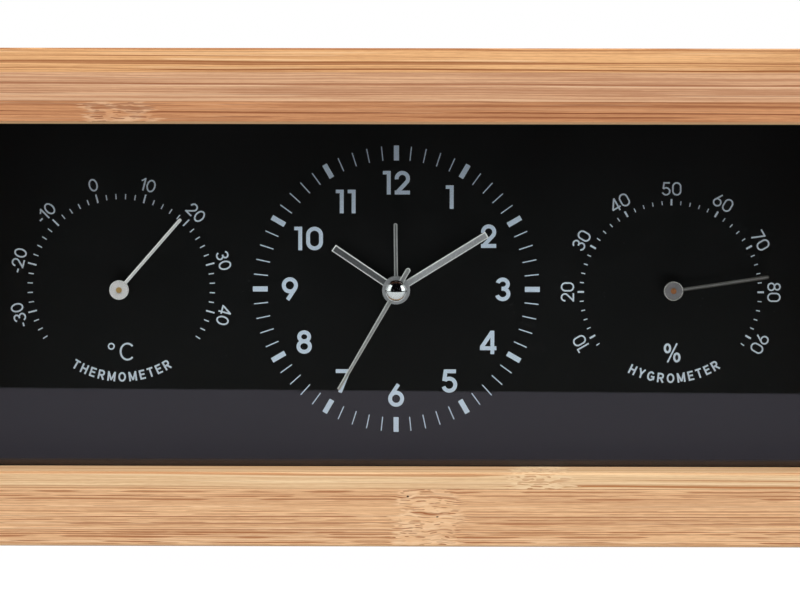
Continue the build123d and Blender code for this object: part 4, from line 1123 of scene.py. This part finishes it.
@dataclass
class ClockDial:
    """The clock's track, markers and figures round its axis."""

    centre: np.ndarray
    minute_ring: tuple[float, float] = (29.4, 32.6)
    minute_width: float = 0.23
    hour_ring: tuple[float, float] = (29.3, 32.7)
    hour_width: float = 1.17
    figure_radius: float = 24.25
    wide_figure_radius: float = 23.05
    wide_figures: tuple[int, ...] = (10, 11)
    figure_height: float = 5.35
    figure_stroke_share: float = 0.166

    def build(self, dial_y: float, ink: bpy.types.Material) -> list[bpy.types.Object]:
        """Print the track and the figures.

        Args:
            dial_y: Where the dial's front is, in metres.
            ink: The ink.

        Returns:
            The two prints.
        """
        track = Print("clock_track")
        for minute in range(60):
            if minute % 5:
                track.tick(self.centre, 6.0 * minute, self.minute_ring, self.minute_width)
            else:
                track.tick(self.centre, 6.0 * minute, self.hour_ring, self.hour_width)
        figures = Print("clock_figures")
        pen = Pen(self.figure_stroke_share, Style.GEOMETRIC)
        for hour in range(1, 13):
            radius = self.wide_figure_radius if hour in self.wide_figures else self.figure_radius
            figures.word(str(hour), pen, self.figure_height, self.centre + radius * way(30.0 * hour))
        return [track.build(dial_y, ink), figures.build(dial_y, ink)]


@dataclass
class GaugeDial:
    """A round scale of ticks and figures, with a word under its centre."""

    name: str
    centre: np.ndarray
    top_value: float
    lowest: int
    highest: int
    major_ring: tuple[float, float]
    major_width: float
    minor_ring: tuple[float, float]
    minor_width: float
    label_radius: float
    label_height: float
    label_pen: Pen
    word: str
    word_radius: float
    word_span: Span
    value_step: int = 2
    label_step: int = 10
    degrees_per_value: float = 3.0
    label_gap: float = 0.12
    word_height: float = 2.18
    word_pen: Pen = Pen(0.18, Style.NARROW)

    def sheet(self) -> Print:
        """The ticks, the figures and the word, without the sign.

        Returns:
            The unfinished print.
        """
        sheet = Print(f"{self.name}_scale")
        for value in range(self.lowest, self.highest + 1, self.value_step):
            bearing = (value - self.top_value) * self.degrees_per_value
            if value % self.label_step:
                sheet.tick(self.centre, bearing, self.minor_ring, self.minor_width)
                continue
            sheet.tick(self.centre, bearing, self.major_ring, self.major_width)
            place = self.centre + self.label_radius * way(bearing)
            sheet.word(str(value), self.label_pen, self.label_height, place, -bearing, self.label_gap)
        sheet.arched(
            self.word, self.word_pen, self.word_height, self.centre, self.word_radius, self.word_span
        )
        return sheet


def thermometer_dial(arbor: np.ndarray) -> Print:
    """The left scale, with a degree ring and a C, printed a little high of the arbor.

    Args:
        arbor: Where the arbor stands.

    Returns:
        The unfinished print.
    """
    centre = arbor + np.array([0.0, 0.2])
    sheet = GaugeDial(
        "thermometer", centre, top_value=5, lowest=-36, highest=46, major_ring=(20.0, 22.0), major_width=0.35,
        minor_ring=(20.2, 21.4), minor_width=0.25, label_radius=24.2, label_height=2.9,
        label_pen=Pen(0.122, Style.NARROW), word="THERMOMETER", word_radius=20.4, word_span=(-32.6, 32.4),
    ).sheet()
    sheet.word("C", Pen(0.1, Style.NARROW), height=4.1, at=centre + np.array([1.32, -14.6]))
    degree = ring(centre + np.array([-2.36, -13.4]), radii=(0.64, 0.64))
    sheet.stroke(degree.path, width=0.32, closed=True)
    return sheet


def hygrometer_dial(arbor: np.ndarray) -> Print:
    """The right scale, with a percent sign, printed a little low of the arbor.

    Args:
        arbor: Where the arbor stands.

    Returns:
        The unfinished print.
    """
    centre = arbor + np.array([-0.2, -0.55])
    sheet = GaugeDial(
        "hygrometer", centre, top_value=50, lowest=8, highest=92, major_ring=(19.75, 21.2), major_width=0.42,
        minor_ring=(19.9, 20.8), minor_width=0.23, label_radius=23.5, label_height=3.05,
        label_pen=Pen(0.114, Style.GEOMETRIC, 0.97), word="HYGROMETER", word_radius=19.7,
        word_span=(-27.8, 33.6),
    ).sheet()
    sheet.word("%", Pen(0.115, Style.GEOMETRIC), height=4.35, at=centre + np.array([0.45, -13.9]))
    return sheet


def turned(
    name: str, profile: np.ndarray, centre: np.ndarray, foot_y: float, loop: bool = False, steps: int = 96
) -> bpy.types.Object:
    """Turn a profile about an axis across the dial: radius times cosine and sine, height to the viewer.

    The points that meet at a pole are merged, and the faces are turned outwards.

    Args:
        name: Name of the piece.
        profile: One row of radius and height a point, in millimetres.
        centre: Where the axis stands in the dial's plane.
        foot_y: Where the height is zero.
        loop: Whether the profile's end joins its start.
        steps: Count of steps round the axis.

    Returns:
        The piece.
    """
    angle = np.linspace(0, 2 * math.pi, steps, endpoint=False)[:, None]
    radius, height = profile.T
    points = np.stack(
        [centre[0] + radius * np.cos(angle), foot_y - height + 0 * angle, centre[1] + radius * np.sin(angle)],
        axis=-1,
    )
    faces = grid_faces(steps, len(radius), wrap_rows=True, wrap_columns=loop)
    piece = add_mesh(name, points.reshape(-1, 3) * MM, faces, smooth=True)
    work = bmesh.new()
    work.from_mesh(piece.data)
    bmesh.ops.remove_doubles(work, verts=work.verts, dist=1e-7)
    bmesh.ops.recalc_face_normals(work, faces=work.faces)
    work.to_mesh(piece.data)
    work.free()
    return piece


@dataclass
class HandCap:
    """The bright domed cap on the clock's axis, a profile turned about that axis."""

    rim_radius: float = 2.45
    rim_height: float = 0.4
    wall_radius: float = 2.2
    wall_height: float = 1.25
    height: float = 2.1
    node: str = "second_hand_cap"
    edge_mm: float = 0.1
    shoulder_mm: float = 0.12

    def profile(self) -> np.ndarray:
        """Radius and height of the profile: a rim with a rounded edge, a wall, a shoulder and a dome.

        The dome is part of a circle through the wall's top and its own top.

        Returns:
            One row of radius and height a point, in millimetres.
        """
        edge = self.edge_mm
        rim = arc((self.rim_radius - edge, self.rim_height - edge), (edge, edge), 0, 90, steps=8)
        rise = self.height - self.wall_height
        ball = (self.wall_radius**2 + rise**2) / (2 * rise)
        start = math.degrees(math.acos((self.wall_radius - self.shoulder_mm / 2) / ball))
        dome = arc((0.0, self.height - ball), (ball, ball), start, 90.0, steps=60)
        dome[-1, 0] = 0.0
        foot = line((0.0, 0.0), (self.rim_radius, 0.0))
        shoulder_top = self.wall_height - self.shoulder_mm
        wall = line((self.wall_radius, self.rim_height), (self.wall_radius, shoulder_top))
        return np.concatenate([foot, rim, wall, dome])

    def build(self, finish: bpy.types.Material) -> bpy.types.Object:
        """Turn the profile about the axis of the solid cap, in whose place it shows.

        Args:
            finish: The polish.

        Returns:
            The piece.
        """
        piece = turned("polished_cap", self.profile(), middle_of(self.node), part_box(self.node)[1].y / MM)
        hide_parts(self.node)
        return dress(piece, finish, "second_group")


@dataclass
class GaugeHub:
    """The raised rim and the rivet head on the hub of one gauge's pointer."""

    name: str
    hub_radius: float = 2.2
    rim_width: float = 0.26
    rim_height: float = 0.12
    head_radius: float = 0.66
    head_height: float = 0.3
    edge_mm: float = 0.1
    groove_width: float = 0.07
    groove_depth: float = 0.04
    pin_radius: float = 0.34
    pin_height: float = 0.42

    def rim_profile(self) -> np.ndarray:
        """A half round on the hub's front, its outer side flush with the hub."""
        middle = self.hub_radius - self.rim_width / 2
        return arc((middle, 0.0), (self.rim_width / 2, self.rim_height), 0, 180, steps=12)

    def head_profile(self) -> np.ndarray:
        """A round-edged collar, a groove and a domed pin in its middle.

        Returns:
            One row of radius and height a point, in millimetres.
        """
        edge = self.edge_mm
        top = self.head_height
        foot = line((0.0, 0.0), (self.head_radius, 0.0))
        collar = arc((self.head_radius - edge, top - edge), (edge, edge), 0, 90, steps=8)
        groove = line((self.pin_radius + self.groove_width, top), (self.pin_radius, top - self.groove_depth))
        pin = arc((0.0, top), (self.pin_radius, self.pin_height - top), 0, 90, steps=16)
        pin[-1, 0] = 0.0
        return np.concatenate([foot, collar, groove, pin])

    def build(self, rim: bpy.types.Material, rivet: bpy.types.Material) -> list[bpy.types.Object]:
        """Turn both profiles about the arbor, on the front of the hub.

        Args:
            rim: Finish of the rim.
            rivet: Finish of the rivet head.

        Returns:
            The rim and the rivet head.
        """
        centre = middle_of(f"{self.name}_arbor")
        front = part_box(f"{self.name}_pointer")[0].y / MM
        body = f"{self.name}_group"
        hub_rim = turned(f"{self.name}_hub_rim", self.rim_profile(), centre, front, loop=True)
        head = turned(f"{self.name}_rivet_head", self.head_profile(), centre, front)
        return [dress(hub_rim, rim, body), dress(head, rivet, body)]


@dataclass(frozen=True)
class Lamp:
    """A rectangular soft light that faces the clock, with its place and size in metres."""

    name: str
    place_m: Triple
    size_m: tuple[float, float]
    watts: float
    mirrored: bool = True
    aim_m: Triple = (0.0, 0.0, 0.055)

    def build(self) -> None:
        """Hang the lamp, which the camera never sees."""
        data = bpy.data.lights.new(self.name, "AREA")
        data.shape = "RECTANGLE"
        data.size, data.size_y = self.size_m
        data.energy = self.watts
        made = bpy.data.objects.new(self.name, data)
        bpy.context.scene.collection.objects.link(made)
        made.location = self.place_m
        facing = Vector(self.aim_m) - Vector(self.place_m)
        made.rotation_euler = facing.to_track_quat("-Z", "Y").to_euler()
        made.visible_glossy = self.mirrored
        made.visible_camera = False


@dataclass
class Studio:
    """White floor and background, two softboxes, a soft front light and a dark side behind the camera."""

    eye_mm: Triple = (5.0, -625.0, 97.0)
    aim_mm: Triple = (1.0, -25.0, 54.35)
    lens_mm: float = 123.0
    sensor_mm: float = 36.0
    roll_deg: float = 0.08
    floor_front_mm: float = -337.0
    floor_back_mm: float = 3500.0
    floor_half_mm: float = 2500.0
    floor_slope: float = 0.053
    floor_span: Span = (250.0, 1100.0, 0.68, 0.9)
    floor_sheen: float = 0.55
    cup_m: float = 1.3
    cup_heights_deg: tuple[float, float] = (-32.0, 86.0)
    cup_half_deg: float = 86.0
    cup_grid: tuple[int, int] = (32, 40)
    ambient: float = 0.45
    lamps: tuple[Lamp, ...] = (
        Lamp("left_softbox", (-0.72, -0.32, 0.38), (0.7, 0.7), 2.6),
        Lamp("right_softbox", (0.72, -0.32, 0.34), (0.6, 0.6), 2.4),
        Lamp("front_fill", (0.0, -0.52, 0.72), (0.9, 0.4), 4.9, mirrored=False),
    )

    def camera(self) -> None:
        """A long lens at the photograph's height and angle."""
        data = bpy.data.cameras.new("camera")
        data.lens = self.lens_mm
        data.sensor_width = self.sensor_mm
        eye = bpy.data.objects.new("camera", data)
        bpy.context.scene.collection.objects.link(eye)
        eye.location = Vector(self.eye_mm) * MM
        turn = (Vector(self.aim_mm) - Vector(self.eye_mm)).to_track_quat("-Z", "Y").to_matrix().to_4x4()
        roll = Euler((0, 0, math.radians(self.roll_deg))).to_matrix().to_4x4()
        eye.rotation_euler = (turn @ roll).to_euler()
        bpy.context.scene.camera = eye

    def floor(self) -> None:
        """A white floor that ends in front of the clock, so that the glass mirrors its edge.

        It glows for the camera, more with the distance from the clock, and less in frosted metal.
        """
        half = self.floor_half_mm
        left, right = self.floor_front_mm + np.array([-half, half]) * self.floor_slope
        back = self.floor_back_mm
        corners = np.array([[-half, left, 0], [half, right, 0], [half, back, 0], [-half, back, 0]])
        sheet = add_mesh("floor", corners * MM, np.array([[0, 1, 2, 3]]))
        g = Graph.named("floor_white")
        away = g.read("ShaderNodeVectorMath", "Value", {0: g.vector(*g.place())}, operation="LENGTH")
        seen = g.math("MAXIMUM", g.ray("Camera"), g.ray("Transmission"))
        soft = g.ray("Glossy") * (1.0 - g.ray("Singular"))
        sheet.data.materials.append(g.surface(
            Base_Color=srgb(150, 149, 155),
            Roughness=0.9,
            Emission_Color=srgb(255, 255, 255),
            Emission_Strength=seen * g.ease(away, *self.floor_span) + soft * self.floor_sheen,
        ))

    def dark_side(self) -> None:
        """A dark cup round the front of the clock that only metal and glass show.

        Part of a ball about the clock, on which the azimuth and the height run evenly.
        """
        rows, columns = self.cup_grid
        height = np.radians(np.linspace(*self.cup_heights_deg, rows))[:, None]
        azimuth = np.radians(np.linspace(-self.cup_half_deg, self.cup_half_deg, columns))[None, :]
        level = np.cos(height)
        ball = [level * np.sin(azimuth), -level * np.cos(azimuth), np.sin(height) + 0 * azimuth]
        points = self.cup_m * np.stack(ball, axis=-1).reshape(-1, 3)
        sheet = add_mesh("dark_side", points, grid_faces(rows, columns), smooth=True)
        cloth = Graph.named("dark_cloth")
        sheet.data.materials.append(
            cloth.surface(Base_Color=srgb(14, 14, 15), Roughness=1.0, Specular_IOR_Level=0.0)
        )
        sheet.visible_camera = False
        sheet.visible_diffuse = False
        sheet.visible_shadow = False

    def world(self) -> None:
        """White to the eye and in mirrors, and a softer white as light."""
        g = Graph(bpy.data.worlds.new("white"))
        shown = g.math("MAXIMUM", g.ray("Glossy"), g.ray("Transmission"))
        level = g.math("MAXIMUM", g.ray("Camera"), shown) * (1 - self.ambient) + self.ambient
        light = {"Color": (1.0, 1.0, 1.0, 1.0), "Strength": level}
        bpy.context.scene.world = g.close(g.node("ShaderNodeBackground", light))

    def build(self) -> None:
        """Set up the whole studio."""
        self.camera()
        self.floor()
        self.dark_side()
        for lamp in self.lamps:
            lamp.build()
        self.world()
        bpy.context.scene.view_settings.view_transform = "Standard"


@dataclass
class Wardrobe:
    """Which finish each carried-over piece of the clock wears."""

    made: dict[str, bpy.types.Material] = field(default_factory=dict)
    frosted_mm: Triple = (0.28, 0.28, 0.6)

    def wear(self, finish: Finish, *nodes: str) -> None:
        """Give some pieces a finish.

        Args:
            finish: The finish.
            *nodes: The pieces.
        """
        self.made[finish.name] = finish.material()
        for node in nodes:
            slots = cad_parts[node].data.materials
            slots.clear()
            slots.append(self.made[finish.name])

    def boards(self) -> None:
        """Four bamboo boards, each with its own plies and knuckles."""
        low, high = (np.array(corner) / MM for corner in CAD_BOX)
        honey = Ply(5.3, srgb(243, 189, 132), srgb(140, 72, 30), 170.0, 1.5, 0.95)
        rose = Ply(11.7, srgb(229, 182, 141), srgb(146, 82, 46), 60.0, 1.3, 0.75)
        amber = Ply(17.0, srgb(214, 154, 107), srgb(128, 66, 34), 45.0, 1.2, 0.85)
        cream = Ply(12.9, srgb(255, 209, 159), srgb(156, 86, 40), 17.0, 0.95, 0.85)
        straw = Ply(17.0, srgb(255, 223, 175), srgb(176, 104, 48), 110.0, 1.2, 0.8)
        warm = (honey, rose, amber)
        low_knuckles = (Knuckle(7.0, 0, 12.0), Knuckle(32.3, 1, 10.5))
        for side, grain, face, inward, plies, knuckles, seed in (
            ("top", Grain.ALONG_X, high[2], -1.0, warm, (Knuckle(-61.0, 2, 12.5),), 3.0),
            ("bottom", Grain.ALONG_X, low[2], 1.0, (cream, straw), low_knuckles, 11.0),
            ("left", Grain.ALONG_Z, low[0], 1.0, warm, (Knuckle(38.0, 0, 11.0),), 21.0),
            ("right", Grain.ALONG_Z, high[0], -1.0, (rose, cream, amber), (Knuckle(71.0, 0, 11.0),), 31.0),
        ):
            finish = BambooFinish(f"bamboo_{side}", grain, face, inward, plies, knuckles, seed, low[1])
            self.wear(finish, f"case_{side}_board")

    def front(self) -> None:
        """Glass, dial, hands, pointers and cap."""
        self.wear(GlassFinish("clear_glass", 0.042), "front_glass")
        dial = MouldedFinish("dial_black", srgb(6, 6, 6), 0.45, 0.3, 0.3, 0.004, dust=0.5, specular=0.25)
        self.wear(dial, "dial_plate")
        self.wear(MouldedFinish("spacer_black", srgb(12, 12, 12), 0.6), "spacer_frame")
        # Near-white painted highlight for the slanted edges of the hands and the silver pointer.
        bright = srgb(246, 246, 246)
        # One frosted metal on all hands. Colour and metallic level are set apart per hand as lit and shaded
        # copies, with painted highlights on their slanted edges.
        for hand, colour, turn, contrast, metallic, bevel in (
            ("hour", srgb(150, 150, 152), 304.0, 0.3, 1.0, bright),
            ("minute", srgb(222, 222, 226), 58.3, 0.3, 0.8, bright),
            ("second", srgb(188, 188, 190), 210.1, 0.4, 0.85, srgb(214, 214, 212)),
            ("alarm", srgb(146, 146, 148), 0.0, 0.4, 1.0, srgb(184, 184, 184)),
        ):
            steel = MetalFinish(
                f"{hand}_steel", colour, 0.4, self.frosted_mm, turn, contrast, metallic=metallic, bevel=bevel
            )
            self.wear(steel, f"{hand}_hand")
        silver = MetalFinish(
            "pointer_silver", srgb(238, 234, 235), 0.45, self.frosted_mm, 0.0, 0.12, 0.01, 0.3, bevel=bright
        )
        # Darker colour painted on the grey pointer's slanted edges as painted shade.
        edge_painted_shade = srgb(108, 107, 103)
        grey = MetalFinish(
            "pointer_grey", srgb(176, 172, 174), 0.46, self.frosted_mm, bevel=edge_painted_shade, bevel_metallic=0.6
        )
        self.wear(silver, "thermometer_pointer")
        self.wear(grey, "hygrometer_pointer")
        brass = MetalFinish("rivet_brass", srgb(205, 165, 105), 0.32)
        self.wear(brass, "thermometer_arbor", "thermometer_bush")
        copper = MetalFinish("rivet_copper", srgb(186, 124, 82), 0.36)
        self.wear(copper, "hygrometer_arbor", "hygrometer_bush")
        chrome = MetalFinish("chrome", srgb(235, 236, 238), 0.05, contrast=0.02, relief_mm=0.0)
        self.wear(chrome, "second_hand_cap")

    def rear(self) -> None:
        """Back panel, screws, movement and what shows through the openings."""
        for name, colour, roughness, mottle, grain_mm, relief_mm, nodes in (
            ("panel_black", srgb(38, 36, 34), 0.75, 0.2, 0.6, 0.05, ["back_panel"]),
            ("block_pine", srgb(206, 172, 126), 0.7, 0.15, 0.8, 0.05, ["dial_corner_blocks"]),
            ("movement_black", srgb(34, 34, 36), 0.55, 0.12, 0.25, 0.02,
             ["movement_front_case", "movement_middle_plate", "movement_rear_case"]),
            ("knob_black", srgb(26, 26, 28), 0.45, 0.1, 0.2, 0.015, ["time_set_knob", "alarm_set_knob"]),
            ("switch_red", srgb(150, 40, 34), 0.45, 0.1, 0.2, 0.015, ["alarm_switch"]),
            ("acetal_white", srgb(226, 222, 212), 0.45, 0.04, 0.35, 0.02,
             ["second_wheel", "third_wheel", "minute_wheel", "motion_wheel", "hour_wheel", "alarm_wheel",
              "alarm_set_gear", "intermediate_wheel", "motor_rotor"]),
            ("board_green", srgb(38, 84, 52), 0.4, 0.08, 0.35, 0.02, ["circuit_board"]),
            ("cell_sleeve", srgb(52, 58, 66), 0.3, 0.06, 0.5, 0.005, ["battery"]),
        ):
            self.wear(MouldedFinish(name, colour, roughness, mottle, grain_mm, relief_mm), *nodes)
        self.wear(
            MetalFinish("zinc", srgb(178, 180, 182), 0.34), "back_panel_screws", "movement_screws",
            "gauge_screws", "thermometer_bracket", "hygrometer_bracket", "battery_contact_positive",
            "battery_contact_negative", "quartz_crystal", "motor_stator", "motor_coil_core",
        )
        self.wear(MetalFinish("coil_copper", srgb(190, 110, 66), 0.3, (0.1, 0.1, 4.0)), "motor_coil")
        self.wear(MetalFinish("sounder_brass", srgb(206, 172, 106), 0.3), "alarm_buzzer")
        bimetal = MetalFinish("bimetal", srgb(178, 150, 110), 0.35)
        self.wear(bimetal, "thermometer_coil", "hygrometer_coil")


def main() -> None:
    """Dress the clock piece by piece and set up the studio."""
    logging.basicConfig(level=logging.INFO, format="%(message)s")
    wardrobe = Wardrobe()
    wardrobe.boards()
    wardrobe.front()
    wardrobe.rear()
    LOG.info("finishes: %d", len(wardrobe.made))

    dial_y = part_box("dial_plate")[0].y
    ink, pale_ink = (
        MouldedFinish(name, colour, 0.6, mottle=0.06, grain_mm=0.2, relief_mm=0.004).material()
        for name, colour in (("ink_blue_grey", srgb(211, 225, 244)), ("ink_pale", srgb(214, 224, 238)))
    )
    pieces = ClockDial(middle_of("alarm_wheel")).build(dial_y, ink)
    pieces.append(thermometer_dial(middle_of("thermometer_arbor")).build(dial_y, pale_ink))
    pieces.append(hygrometer_dial(middle_of("hygrometer_arbor")).build(dial_y, pale_ink))
    pieces.append(HandCap().build(wardrobe.made["chrome"]))
    silver = MetalFinish("rim_silver", srgb(246, 244, 244), 0.3, metallic=0.4, contrast=0.05).material()
    grey = MetalFinish("rim_grey", srgb(206, 204, 200), 0.25, metallic=0.8, contrast=0.05).material()
    brass = MetalFinish("head_brass", srgb(226, 186, 122), 0.3, metallic=0.75).material()
    copper = MetalFinish("head_copper", srgb(196, 132, 88), 0.3, metallic=0.8).material()
    pieces += GaugeHub("thermometer").build(silver, brass) + GaugeHub("hygrometer").build(grey, copper)
    for piece in pieces:
        LOG.info("%s: %d faces", piece.name, len(piece.data.polygons))
    Studio().build()


if __name__ == "__main__":
    main()
